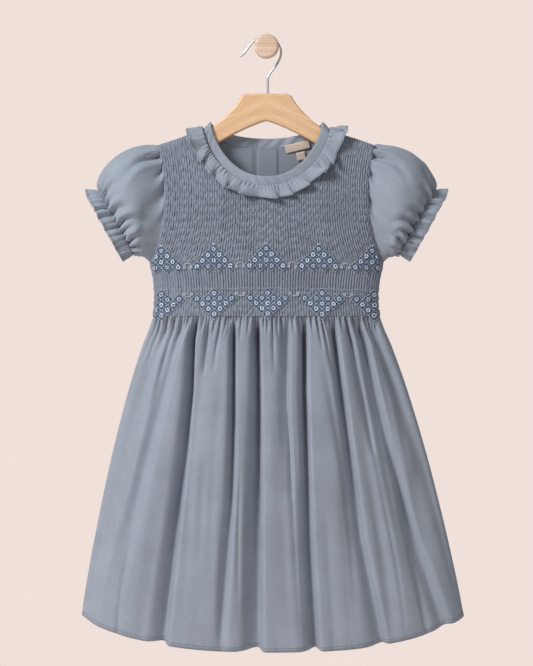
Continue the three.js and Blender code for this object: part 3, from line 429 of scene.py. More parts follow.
def seam_normals(side, x, z, ends):
    """Directions out of a bodice panel, flattened at its seams so that neighbours stay apart."""
    normal = bodice_normal(side, x, z)
    rolled = bodice_depth(side, x[0], z[0]) < 1.5
    normal[0, rolled, 1] = 0
    for end in ends:
        low = z[:, end] <= UNDERARM_Z + 1
        normal[low, end, 1] = 0
        normal[~low, end, 0] = 0
    normal[-1, :, 2] = 0
    return unit(normal)


def grid_normals(grid, outwards, closed=False):
    """Unit directions square to a grid of points, on the side that outwards gives."""
    if closed:
        across = np.roll(grid, -1, axis=1) - np.roll(grid, 1, axis=1)
    else:
        across = np.gradient(grid, axis=1)
    down = np.gradient(grid, axis=0)
    normal = unit(np.cross(across, down))
    facing = np.sum(normal * outwards, axis=-1, keepdims=True)
    return np.where(facing < 0, -normal, normal)


# Meshes

def quads(index, flipped):
    a, b, c, d = index[:-1, :-1], index[:-1, 1:], index[1:, 1:], index[1:, :-1]
    corners = (d, c, b, a) if flipped else (a, b, c, d)
    return np.stack([corner.ravel() for corner in corners], axis=1).tolist()


def strip(line_a, line_b):
    """Triangles between two lines of point numbers, walked by their shares of the way."""
    faces, i, k = [], 0, 0
    while i < len(line_a) - 1 or k < len(line_b) - 1:
        share_a = (i + 1) / (len(line_a) - 1) if i < len(line_a) - 1 else 2
        share_b = (k + 1) / (len(line_b) - 1) if k < len(line_b) - 1 else 2
        if share_a <= share_b:
            faces.append([line_a[i], line_b[k], line_a[i + 1]])
            i += 1
        else:
            faces.append([line_a[i], line_b[k], line_b[k + 1]])
            k += 1
    return faces


def shell(outer, inner, closed=False):
    """Points and faces of a closed wall between two grids; a closed grid is a tube."""
    points = np.concatenate([outer.reshape(-1, 3), inner.reshape(-1, 3)])
    out = np.arange(outer[..., 0].size).reshape(outer.shape[:2])
    into = np.arange(inner[..., 0].size).reshape(inner.shape[:2]) + out.size
    if closed:
        out = np.concatenate([out, out[:, :1]], axis=1)
        into = np.concatenate([into, into[:, :1]], axis=1)
    faces = quads(out, False) + quads(into, True)
    faces += strip(out[0].tolist(), into[0].tolist())
    faces += strip(into[-1].tolist(), out[-1].tolist())
    if not closed:
        faces += strip(into[:, 0].tolist(), out[:, 0].tolist())
        faces += strip(out[:, -1].tolist(), into[:, -1].tolist())
    return points, faces


def signed_volume(points, faces):
    total = 0.0
    for corners in (3, 4):
        rows = np.array([face for face in faces if len(face) == corners])
        for k in range(1, corners - 1):
            if len(rows):
                a, b, c = points[rows[:, 0]], points[rows[:, k]], points[rows[:, k + 1]]
                total += np.sum(a * np.cross(b, c)) / 6
    return total


def mesh_piece(name, points, faces, material, uv=None):
    """An object from points in mm, its faces turned outwards, with its cloth coordinates."""
    if signed_volume(points, faces) < 0:
        faces = [face[::-1] for face in faces]
    mesh = bpy.data.meshes.new(name)
    mesh.from_pydata((points * MM).tolist(), [], faces)
    mesh.update()
    mesh.shade_smooth()
    if uv is not None:
        layer = mesh.uv_layers.new(name="cloth")
        corners = np.empty(len(mesh.loops), dtype=np.int32)
        mesh.loops.foreach_get("vertex_index", corners)
        layer.data.foreach_set("uv", (uv[corners] / UV_MM).astype(np.float32).ravel())
    mesh.materials.append(material)
    piece = bpy.data.objects.new(name, mesh)
    bpy.context.collection.objects.link(piece)
    return piece


def cloth_uv(*grids):
    """Cloth coordinates in mm, across and down, measured on the grids themselves."""
    parts = []
    for grid in grids:
        across = np.linalg.norm(np.diff(grid, axis=1), axis=-1).mean(axis=0)
        down = np.linalg.norm(np.diff(grid, axis=0), axis=-1).mean(axis=1)
        u = np.concatenate([[0], np.cumsum(across)])
        v = np.concatenate([[0], np.cumsum(down)])
        parts.append(np.stack(np.meshgrid(u, v), axis=-1).reshape(-1, 2))
    return np.concatenate(parts)


def finish_piece(piece, slot, *nodes):
    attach(piece, "root")
    if nodes:
        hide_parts(*nodes)
    return piece


# Materials

def add(tree, kind, inputs=None, **settings):
    """Adds a node with its settings, its constants and its links, and returns it."""
    node = tree.nodes.new(kind)
    for key, value in settings.items():
        setattr(node, key, value)
    for key, value in (inputs or {}).items():
        socket = node.inputs[key]
        if isinstance(value, bpy.types.NodeSocket):
            tree.links.new(value, socket)
        else:
            socket.default_value = value
    return node


def mixed_colour(tree, factor, first, second, blend="MIX"):
    inputs = {0: factor, 6: first, 7: second}  # the mix node's sockets for colours
    return add(tree, "ShaderNodeMix", inputs, data_type="RGBA", blend_type=blend).outputs[2]


def new_material(name):
    material = bpy.data.materials.new(name)
    material.use_nodes = True
    material.node_tree.nodes.clear()
    return material, material.node_tree


def close_material(tree, shader):
    add(tree, "ShaderNodeOutputMaterial", {"Surface": shader.outputs["BSDF"]})


def cotton(name, colour):
    """Plain-woven dyed cotton lawn: matt, with a soft bloom from its fibres, faint slubs in both
    directions and a little unevenness from dyeing and washing. Its threads are 0.25 mm apart, too
    fine to show, so the weave is drawn at weave_mm."""
    weave_mm, weave_depth = 0.85, 0.05
    material, tree = new_material(name)
    uv = add(tree, "ShaderNodeUVMap", uv_map="cloth").outputs[0]
    place = add(tree, "ShaderNodeSeparateXYZ", {0: uv})
    turns = 2 * math.pi * UV_MM / weave_mm
    threads = []
    for axis in ("X", "Y"):
        phase = add(tree, "ShaderNodeMath", {0: place.outputs[axis], 1: turns}, operation="MULTIPLY")
        threads.append(add(tree, "ShaderNodeMath", {0: phase.outputs[0]}, operation="SINE").outputs[0])
    weave = add(tree, "ShaderNodeMath", {0: threads[0], 1: threads[1]}, operation="MULTIPLY")
    position = add(tree, "ShaderNodeTexCoord").outputs["Object"]
    slubs = []
    for stretch in ((8, 160, 1), (160, 8, 1)):  # slubs 12 mm long and 0.6 mm thick
        mapped = add(tree, "ShaderNodeMapping", {"Vector": uv, "Scale": stretch})
        slubs.append(add(
            tree, "ShaderNodeTexNoise", {"Vector": mapped.outputs[0], "Scale": 1.0, "Detail": 2.0},
        ).outputs["Fac"])
    slub = add(tree, "ShaderNodeMath", {0: slubs[0], 1: slubs[1]}, operation="MULTIPLY")
    cloud = add(tree, "ShaderNodeTexNoise", {
        "Vector": position, "Scale": 22.0, "Detail": 4.0, "Roughness": 0.6,
    })
    soft = add(tree, "ShaderNodeMath", {0: slub.outputs[0], 1: cloud.outputs["Fac"]}, operation="ADD")
    tone = add(tree, "ShaderNodeMapRange", {
        "Value": soft.outputs[0], "From Min": 0.5, "From Max": 1.0, "To Min": 0.9, "To Max": 1.09,
    })
    shade = mixed_colour(tree, 1.0, (*colour, 1.0), tone.outputs[0], "MULTIPLY")
    height = add(tree, "ShaderNodeMath", {
        0: slub.outputs[0], 1: 1.6, 2: weave.outputs[0],
    }, operation="MULTIPLY_ADD")
    bump = add(tree, "ShaderNodeBump", {
        "Height": height.outputs[0], "Strength": 0.6, "Distance": weave_depth * MM,
    })
    close_material(tree, add(tree, "ShaderNodeBsdfPrincipled", {
        "Base Color": shade, "Roughness": 0.86, "Specular IOR Level": 0.25,
        "Sheen Weight": 0.22, "Sheen Roughness": 0.4, "Normal": bump.outputs[0],
    }))
    return material


def thread(name, dark, pale):
    """Stranded cotton embroidery floss: a soft sheen on fine strands. The attribute shade runs
    from the dark to the pale colour of thread."""
    material, tree = new_material(name)
    shade = add(tree, "ShaderNodeAttribute", attribute_name="shade")
    position = add(tree, "ShaderNodeTexCoord").outputs["Object"]
    strands = add(tree, "ShaderNodeTexNoise", {"Vector": position, "Scale": 1500.0, "Detail": 2.0})
    mixed = mixed_colour(tree, shade.outputs["Fac"], (*dark, 1.0), (*pale, 1.0))
    tone = add(tree, "ShaderNodeMapRange", {
        "Value": strands.outputs["Fac"], "From Min": 0.3, "From Max": 0.7, "To Min": 0.86, "To Max": 1.1,
    })
    colour = mixed_colour(tree, 1.0, mixed, tone.outputs[0], "MULTIPLY")
    bump = add(tree, "ShaderNodeBump", {
        "Height": strands.outputs["Fac"], "Strength": 0.4, "Distance": 0.1 * MM,
    })
    close_material(tree, add(tree, "ShaderNodeBsdfPrincipled", {
        "Base Color": colour, "Roughness": 0.55, "Specular IOR Level": 0.4,
        "Sheen Weight": 0.15, "Normal": bump.outputs[0],
    }))
    return material


def label_tape(name, colour):
    """Woven satin label tape: fine ribs across it and a soft gloss. Its ribs are 0.3 mm apart,
    drawn at rib_mm so that they show."""
    rib_mm = 0.6
    material, tree = new_material(name)
    uv = add(tree, "ShaderNodeUVMap", uv_map="cloth").outputs[0]
    place = add(tree, "ShaderNodeSeparateXYZ", {0: uv})
    phase = add(tree, "ShaderNodeMath", {
        0: place.outputs["Y"], 1: 2 * math.pi * UV_MM / rib_mm,
    }, operation="MULTIPLY")
    rib = add(tree, "ShaderNodeMath", {0: phase.outputs[0]}, operation="SINE")
    fleck = add(tree, "ShaderNodeTexNoise", {"Vector": uv, "Scale": 60.0, "Detail": 3.0})
    tone = add(tree, "ShaderNodeMapRange", {
        "Value": fleck.outputs["Fac"], "From Min": 0.3, "From Max": 0.7, "To Min": 0.92, "To Max": 1.05,
    })
    shade = mixed_colour(tree, 1.0, (*colour, 1.0), tone.outputs[0], "MULTIPLY")
    bump = add(tree, "ShaderNodeBump", {
        "Height": rib.outputs[0], "Strength": 0.5, "Distance": 0.05 * MM,
    })
    close_material(tree, add(tree, "ShaderNodeBsdfPrincipled", {
        "Base Color": shade, "Roughness": 0.6, "Sheen Weight": 0.2,
        "Normal": bump.outputs[0],
    }))
    return material


def beech(name, colour, dark, tilt, roughness, gloss):
    """Steamed beech: pale, with faint growth lines 3 mm apart and short darker flecks along the
    grain, 5 mm long and half a millimetre wide. tilt is how far the grain climbs to the middle."""
    material, tree = new_material(name)
    position = add(tree, "ShaderNodeTexCoord").outputs["Object"]
    axes = add(tree, "ShaderNodeSeparateXYZ", {0: position})
    out = add(tree, "ShaderNodeMath", {0: axes.outputs["X"]}, operation="ABSOLUTE").outputs[0]
    grain = add(tree, "ShaderNodeMath", {
        0: out, 1: tilt, 2: axes.outputs["Z"],
    }, operation="MULTIPLY_ADD").outputs[0]
    along = add(tree, "ShaderNodeMath", {
        0: axes.outputs["Z"], 1: -tilt, 2: out,
    }, operation="MULTIPLY_ADD").outputs[0]
    flat = add(tree, "ShaderNodeCombineXYZ", {"X": along, "Y": axes.outputs["Y"], "Z": grain}).outputs[0]
    lines = add(tree, "ShaderNodeMapping", {"Vector": flat, "Scale": (18, 60, 330)})
    growth = add(tree, "ShaderNodeTexNoise", {
        "Vector": lines.outputs[0], "Scale": 1.0, "Detail": 3.0, "Distortion": 0.6,
    })
    short = add(tree, "ShaderNodeMapping", {"Vector": flat, "Scale": (190, 900, 1900)})
    fleck = add(tree, "ShaderNodeTexNoise", {"Vector": short.outputs[0], "Scale": 1.0, "Detail": 2.0})
    flecks = add(tree, "ShaderNodeMapRange", {
        "Value": fleck.outputs["Fac"], "From Min": 0.56, "From Max": 0.74, "To Min": 0.0, "To Max": 0.5,
    })
    bands = add(tree, "ShaderNodeMapRange", {
        "Value": growth.outputs["Fac"], "From Min": 0.35, "From Max": 0.7, "To Min": 0.0, "To Max": 0.55,
    })
    darker = add(tree, "ShaderNodeMath", {
        0: flecks.outputs[0], 1: bands.outputs[0],
    }, operation="ADD", use_clamp=True)
    shade = mixed_colour(tree, darker.outputs[0], (*colour, 1.0), (*dark, 1.0))
    bump = add(tree, "ShaderNodeBump", {
        "Height": fleck.outputs["Fac"], "Strength": 0.15, "Distance": 0.05 * MM,
    })
    close_material(tree, add(tree, "ShaderNodeBsdfPrincipled", {
        "Base Color": shade, "Roughness": roughness, "Coat Weight": gloss,
        "Coat Roughness": 0.25, "Normal": bump.outputs[0],
    }))
    return material


def nickel_wire(name, colour):
    """Bright nickel-plated spring wire: smooth and mirror-like, with very fine drawing marks."""
    material, tree = new_material(name)
    position = add(tree, "ShaderNodeTexCoord").outputs["Object"]
    marks = add(tree, "ShaderNodeTexNoise", {"Vector": position, "Scale": 900.0, "Detail": 2.0})
    gloss = add(tree, "ShaderNodeMapRange", {
        "Value": marks.outputs["Fac"], "To Min": 0.3, "To Max": 0.42,
    })
    close_material(tree, add(tree, "ShaderNodeBsdfPrincipled", {
        "Base Color": (*colour, 1.0), "Metallic": 1.0, "Roughness": gloss.outputs[0],
    }))
    return material


def button_resin(name, colour):
    """Cast polyester resin, polished: a soft pearly cloud in the colour of the cloth."""
    material, tree = new_material(name)
    position = add(tree, "ShaderNodeTexCoord").outputs["Object"]
    cloud = add(tree, "ShaderNodeTexNoise", {
        "Vector": position, "Scale": 260.0, "Detail": 3.0, "Distortion": 1.5,
    })
    tone = add(tree, "ShaderNodeMapRange", {
        "Value": cloud.outputs["Fac"], "From Min": 0.3, "From Max": 0.7, "To Min": 0.85, "To Max": 1.15,
    })
    shade = mixed_colour(tree, 1.0, (*colour, 1.0), tone.outputs[0], "MULTIPLY")
    close_material(tree, add(tree, "ShaderNodeBsdfPrincipled", {
        "Base Color": shade, "Roughness": 0.28, "Coat Weight": 0.3,
    }))
    return material


# The finishes: name, and what makes it from the colours in the sidebar
FINISHES = {
    "cotton": ("dyed cotton lawn", lambda name, c: cotton(name, c.cotton)),
    # smocked: the same cotton painted darker all over, a painted shade for the shadow between the pleats
    "smocked": ("smocked cotton lawn", lambda name, c: cotton(name, c.smocked)),
    "sewing": ("cotton sewing thread", lambda name, c: thread(name, c.sewing, c.cotton)),
    "floss": ("stranded embroidery floss", lambda name, c: thread(name, c.floss_blue, c.floss_pale)),
    "label": ("woven satin label tape", lambda name, c: label_tape(name, c.label)),
    "hanger": ("varnished beech", lambda name, c: beech(name, c.hanger, c.hanger_grain, 0.42, 0.42, 0.12)),
    "knob": ("sanded beech", lambda name, c: beech(name, c.knob, c.knob_grain, 0.0, 0.55, 0.0)),
    "wire": ("nickel-plated wire", lambda name, c: nickel_wire(name, c.wire)),
    "button": ("polished resin", lambda name, c: button_resin(name, c.button)),
}


def finish_of(key):
    name, make = FINISHES[key]
    return bpy.data.materials.get(name) or make(name, bpy.context.scene.dress_colours)


# The smocked front

def plain_strip(z):
    """1 in the strip between the two bands of embroidery, where the pleats run straight, else 0."""
    return smooth(z, STRIP_BOTTOM_Z - 2, STRIP_BOTTOM_Z + 3) * smooth(-z, -STRIP_TOP_Z - 2, -STRIP_TOP_Z + 3)


def valley_opening(pleats, valley, z, row_height):
    """How far a valley between two pleats gapes, from 0 where they are drawn together to 1."""
    rng = np.random.default_rng(SEEDS["valleys"])
    phase = rng.uniform(-0.28, 0.28, pleats + 1)[valley]
    drift = rng.uniform(0, 2 * np.pi, pleats + 1)[valley]
    row = (z - WAIST_Z) / row_height + phase + 0.22 * np.sin(z / 23 + drift)
    opening = 0.5 + 0.5 * np.cos(np.pi * (row + valley))
    return lerp(opening, 0.62 + 0.25 * np.sin(z / 9 + drift), plain_strip(z))


def pleated(sizes, z):
    """Sideways lean, in pleats, and height, from 0 to 1, of the front's outer points."""
    pleats = sizes.pleats
    columns = np.arange(z.shape[1])
    pleat, phase = columns // len(PLEAT_PHASES), columns % len(PLEAT_PHASES)
    rng = np.random.default_rng(SEEDS["pleats"])
    wander = rng.normal(0, 0.07, pleats + 2)
    tall = rng.uniform(0.86, 1.08, pleats + 2)
    beat = rng.uniform(0, 2 * np.pi, pleats + 2)
    before = valley_opening(pleats, np.minimum(pleat, pleats), z, sizes.row_height / MM)
    after = valley_opening(pleats, np.minimum(pleat + 1, pleats), z, sizes.row_height / MM)
    drawn = rng.uniform(-0.32, 0.32, pleats + 2)[pleat]
    row = (z - WAIST_Z) / (sizes.row_height / MM) + drawn + 0.12 * np.sin(z / 19 + beat[pleat])
    dash = np.sqrt(np.abs(np.sin(np.pi * row)))
    crown = tall[pleat] * lerp(lerp(0.5, 1.1, dash), 0.8 + 0.25 * dash, plain_strip(z))
    floor_before = lerp(CLOSED_FLOOR, OPEN_FLOOR, before ** 0.8)
    floor_after = lerp(CLOSED_FLOOR, OPEN_FLOOR, after ** 0.8)
    height = np.where(phase == 0, floor_before, crown)
    height = np.where(phase == 1, lerp(floor_before, crown, 0.8), height)
    height = np.where(phase == 4, lerp(floor_after, crown, 0.8), height)
    lean = 0.2 * (after - before)
    lean = np.where(phase == 0, 0, lean)
    lean = lean + np.where(phase == 1, 0.05 * (2 * before - 1), 0)
    lean = lean - np.where(phase == 4, 0.05 * (2 * after - 1), 0)
    lean = lean + wander[pleat] * (phase == 0) + 0.05 * np.sin(z / 31 + beat[pleat])
    return lean, height


def smocked_front(sizes):
    pleats, rows = sizes.pleats, FRONT_ROWS
    columns = np.arange(len(PLEAT_PHASES) * pleats + 1)
    place = columns // len(PLEAT_PHASES) + PLEAT_PHASES[columns % len(PLEAT_PHASES)]
    shares = -1 + 2 * place / pleats
    x, z = bodice_grid(FRONT, shares, rows)
    lean, height = pleated(sizes, z)
    at_side = smooth(1 - np.abs(shares), 0, 0.02)
    x, z = bodice_grid(FRONT, shares + lean * at_side * 2 / pleats, rows)
    normal = seam_normals(FRONT, x, z, (0, -1))
    height = height * at_side * smooth(np.arange(rows + 1), 0, 6)[:, None]
    pressed = lerp(1, UNDER_THREADS, smooth(UPPER_APEX_Z - z, 0, 8))
    pressed = pressed * lerp(UNDER_RUFFLE, 1, smooth(z[0] - z, 17, 26))
    relief = sizes.pleat_height / MM * height * pressed
    middle = close_sides(bodice_point(FRONT, x, z), (0, -1))
    relief = relief + waves(x, z, SEEDS["front"], (34, 60), 0.5) * at_side
    outer = middle + normal * (CLOTH / 2 + relief)[..., None]
    inside = np.linspace(-1, 1, pleats + 1)
    xi, zi = bodice_grid(FRONT, inside, FRONT_INSIDE_ROWS)
    inner = close_sides(bodice_point(FRONT, xi, zi), (0, -1))
    inner = inner - seam_normals(FRONT, xi, zi, (0, -1)) * CLOTH / 2
    points, faces = shell(outer, inner)
    # the smocked finish is the cotton painted darker, a painted shade for the shadow between the pleats
    return mesh_piece("smocked_front", points, faces, finish_of("smocked"), cloth_uv(outer, inner))


# The back bodices

def back_bodice(hand):
    columns, rows = BACK_COLUMNS, BACK_ROWS
    across = np.linspace(0, 1, columns + 1)
    end = LAP_RIGHT if hand < 0 else LAP_LEFT
    section = BODICE_SECTIONS[BACK]
    heights = np.linspace(section.top, section.bottom, len(section.total))

    def shares(z):
        half = np.interp(-z, -heights, section.total)
        return lerp(float(hand), end / half, across)

    z = np.full((rows + 1, columns + 1), UNDERARM_Z)
    near, even, roll_length = row_drops(rows)
    for _ in range(FIT_ROUNDS):
        x = section.x_at(shares(z), z)
        top = bodice_top(BACK, x)
        lower = lerp(top[len(near):] - roll_length, WAIST_Z, even[:, None])
        z = np.concatenate([top[:len(near)] - near[:, None], lower])
    normal = seam_normals(BACK, x, z, (0,))
    lift = LAP_OVER * smooth(x, LAP_LEFT - LAP_RAMP, LAP_LEFT - 0.5) if hand < 0 else 0 * x
    calm = smooth(np.abs(z - WAIST_Z), 0, 12) * smooth(bodice_edge(z) - np.abs(x), 0, 10)
    soft = waves(x, z, SEEDS["backs"] + hand, (28, 55, 90), 1.1) * calm * smooth(np.abs(x), 14, 40)
    gathers = 0.7 * np.sin(x / 1.3 + 2 * np.sin(x / 7)) * np.exp(-(z - WAIST_Z) / 9) * calm
    middle = close_sides(bodice_point(BACK, x, z), (0,)) + normal * (lift + soft + gathers)[..., None]
    # the turned placket, a second thickness of cloth up to its line of stitches
    turned = smooth(-x if hand > 0 else x, *((-12.6, -12.0) if hand > 0 else (-10.6, -10.0)))
    outer = middle + normal * (CLOTH / 2 + 0.25 * turned * (hand < 0))[..., None]
    inner = middle - normal * (CLOTH / 2 + 0.55 * turned)[..., None]
    points, faces = shell(outer, inner)
    name = "back_left" if hand < 0 else "back_right"
    return mesh_piece(name, points, faces, finish_of("cotton"), cloth_uv(outer, inner))


# The skirt

def fold_depths(folds, x, z, down):
    """Depth of a panel's folds, into the garment."""
    total = 0
    for fold in folds:
        path = np.array(sorted(fold.path))
        centre = np.interp(z, path[:, 0], path[:, 1])
        (low_z, low_x), (next_z, next_x) = path[:2]
        slope = (next_x - low_x) / (next_z - low_z)
        centre = np.where(z < low_z, low_x + (z - low_z) * slope, centre)
        distance = x - centre
        flank = np.where(distance < 0, fold.left, fold.right) * lerp(1, fold.widen, down)
        power = np.where(distance < 0, 1.7, 2.8)
        run = (WAIST_Z - z) / (WAIST_Z - fold.end)
        alive = np.sqrt(np.clip(1 - run, 0, 1))
        opens = smooth(WAIST_Z - z, -4, 22)
        across = np.exp(-(np.abs(distance) / flank) ** power)
        total = total + (1.25 * fold.depth * across * alive * opens) ** 3
    return np.cbrt(total)


def short_gathers(side, gathers, x, z, seed):
    """Depth of the short gathers below the waist, and of the released pleats above them."""
    rng = np.random.default_rng(seed)
    below = WAIST_Z - z
    section = SKIRT_SECTIONS[side]
    total = 0
    for place, length in gathers:
        share = section.share_at(place, WAIST_Z)[0]
        centre = section.x_at(share, z)
        half = rng.uniform(1.2, 1.9) * (1 + below / 60)
        depth = rng.uniform(3.0, 4.6) + length * 0.05
        fade = np.clip(1 - below / (length * 2.1), 0, 1) ** 0.9
        opens = smooth(below, -3, 5)
        total = total + (depth * np.exp(-np.abs((x - centre) / half) ** 2) * fade * opens) ** 2
    return np.sqrt(total)


def soft_folds(side, x, z, seed):
    """Broad soft folds, which start anywhere down the panel, and faint streaks between them."""
    rng = np.random.default_rng(seed)
    section = SKIRT_SECTIONS[side]
    total = 0
    for _ in range(SOFT_FOLDS):
        share = rng.uniform(-0.92, 0.92)
        start, length = rng.uniform(0, 230), rng.uniform(80, 300)
        half, depth = rng.uniform(2.4, 9), rng.uniform(0.5, 2.2)
        centre = section.x_at(share, z) * (1 + 0.02 * np.sin(z / 60 + share * 9))
        along = (WAIST_Z - z - start) / length
        shown = smooth(along, 0, 0.35) * smooth(1.4 - along, 0, 0.7)
        total = total + depth * np.exp(-((x - centre) / half) ** 2) * shown
    return total


def skirt_panel(side, sizes, columns, rows, folds, gathers, name):
    """One panel of the skirt, with its outer points and their directions out."""
    seed = SEEDS[name]
    across = np.linspace(-1, 1, columns + 1)[None, :]
    down = ((np.arange(rows + 1) / rows) ** 1.25)[:, None]
    hem = lerp(HEM_CENTRE_Z, HEM_SIDE_Z, np.abs(across) ** HEM_CURVE)
    z = lerp(WAIST_Z, hem, down)
    section = SKIRT_SECTIONS[side]
    lean = SKIRT_LEAN * down
    x = section.x_at(across, z) + lean
    calm = smooth(1 - np.abs(across), 0, 0.05)
    deep = fold_depths(folds, x, z, down)
    plain_x = x - lean
    depth = deep + short_gathers(side, gathers, plain_x, z, seed) + soft_folds(side, plain_x, z, seed + 1)
    ribs = 0.55 - 0.5 * np.cos(np.pi * sizes.pleats * (across + 1)) if side == FRONT else 0.0 * across
    pleat = sizes.pleat_height / MM * ribs * np.exp(-np.maximum(0, WAIST_Z - z) / 9)
    uneven = waves(x, z, seed + 2, (45, 80, 140), 1.0) * smooth(down, 0, 0.2)
    displaced = (-depth + pleat + uneven) * calm
    # deep folds draw the hem up a little
    z = z + HEM_DRAW * deep * smooth(down, 0.35, 1)
    # the top row is tucked up behind the bodice's edge
    z[0] = WAIST_Z + WAIST_TUCK
    displaced[0] -= WAIST_TUCK
    step = 0.05
    y = HANG_Y + side * skirt_depth(side, plain_x, z)
    y[:, [0, -1]] = HANG_Y
    slope = (skirt_depth(side, plain_x + step, z) - skirt_depth(side, plain_x - step, z)) / (2 * step)
    out = unit(np.stack(np.broadcast_arrays(-slope, float(side), 0.0 * slope), axis=-1))
    middle = np.stack([x, y, z], axis=-1) + out * displaced[..., None]
    normal = grid_normals(middle, out)
    normal[:, [0, -1], 1] = 0
    normal[[0, -1], :, 2] = 0
    normal = unit(normal)
    to_hem = z - z[-1]
    hem_height = sizes.hem_height / MM
    turned = smooth(hem_height - to_hem, 0, 1.2)
    pucker = 0.22 * np.sin(x / 1.45 + 3 * np.sin(x / 17)) * np.exp(-((to_hem - hem_height) / 3) ** 2)
    outer = middle + normal * (CLOTH / 2 + HEM_OUT * turned + pucker)[..., None]
    inner = middle - normal * (CLOTH / 2 + HEM_IN * turned)[..., None]
    points, faces = shell(outer, inner)
    piece = mesh_piece(f"{name}_cloth", points, faces, finish_of("cotton"), cloth_uv(outer, inner))
    return piece, outer, normal


# The sleeves

def armhole_point(turn):
    front = turn < np.pi
    way = np.where(front, turn / np.pi, 2 - turn / np.pi)
    z = lerp(ARMHOLE[0, 0], UNDERARM_Z, (1 - np.cos(np.pi * way)) / 2)
    x = through(ARMHOLE, 1, z)
    depth = np.where(front, bodice_depth(FRONT, x, z), bodice_depth(BACK, x, z))
    tucked = np.where(front, -1, 1) * np.maximum(depth - SLEEVE_TUCK, 0)
    return np.stack([x + SLEEVE_GAP, HANG_Y + tucked, z], axis=-1)


def sleeve_rings(at, turn):
    """The right sleeve's plain surface."""
    upper = np.stack([through(SLEEVE, 1, at), np.full_like(at, HANG_Y), through(SLEEVE, 2, at)], axis=-1)
    lower = np.stack([through(SLEEVE, 3, at), np.full_like(at, HANG_Y), through(SLEEVE, 4, at)], axis=-1)
    centre = (upper + lower) / 2
    point = centre[:, None] + (upper - centre)[:, None] * np.cos(turn)[None, :, None]
    point[..., 1] -= np.sin(turn)[None, :] * through(SLEEVE, 5, at)[:, None]
    near = smooth(at, 0, ARMHOLE_BLEND)[:, None, None]
    return lerp(armhole_point(turn)[None], point, near)


def ring_lengths(grid):
    steps = np.linalg.norm(np.roll(grid, -1, axis=1) - grid, axis=-1)
    lengths = np.cumsum(steps, axis=1)
    return np.concatenate([np.zeros((len(grid), 1)), lengths], axis=1)


def crease_depth(crease, at, turn, lengths, frill):
    """Height of one crease and of the soft ridges beside it, over the whole sleeve."""
    way = (at - crease.at) / (crease.at_end - crease.at)
    t = np.clip(way, 0, 1)
    centre = np.radians(lerp(crease.turn, crease.turn_end, t))
    turns = np.append(turn, 2 * np.pi)
    middle = np.array([np.interp(c, turns, row) for c, row in zip(centre, lengths)])
    distance = lengths[:, :-1] - middle[:, None]
    round_ring = lengths[:, -1:]
    distance = (distance + round_ring / 2) % round_ring - round_ring / 2
    half = crease.width * (1 + 1.4 * t)
    size = np.where(way >= 0, (1 - t) ** 1.1 * (0.55 + 0.45 * smooth(t, 0, 0.12)), 0)
    if frill:
        out = np.clip((at - crease.at) / (SLEEVE_END - crease.at), 0, 1)
        size = np.where(at > crease.at, 0.3 + 0.45 * out, size)
        half = np.where(at > crease.at, crease.width * (1.1 + 0.6 * out), half)
    reach = distance / half[:, None]
    shape = -np.exp(-np.abs(reach) ** 1.8) + 0.42 * np.exp(-((np.abs(reach) - 2.1) / 0.9) ** 2)
    return CREASE_GAIN * crease.depth * size[:, None] * shape


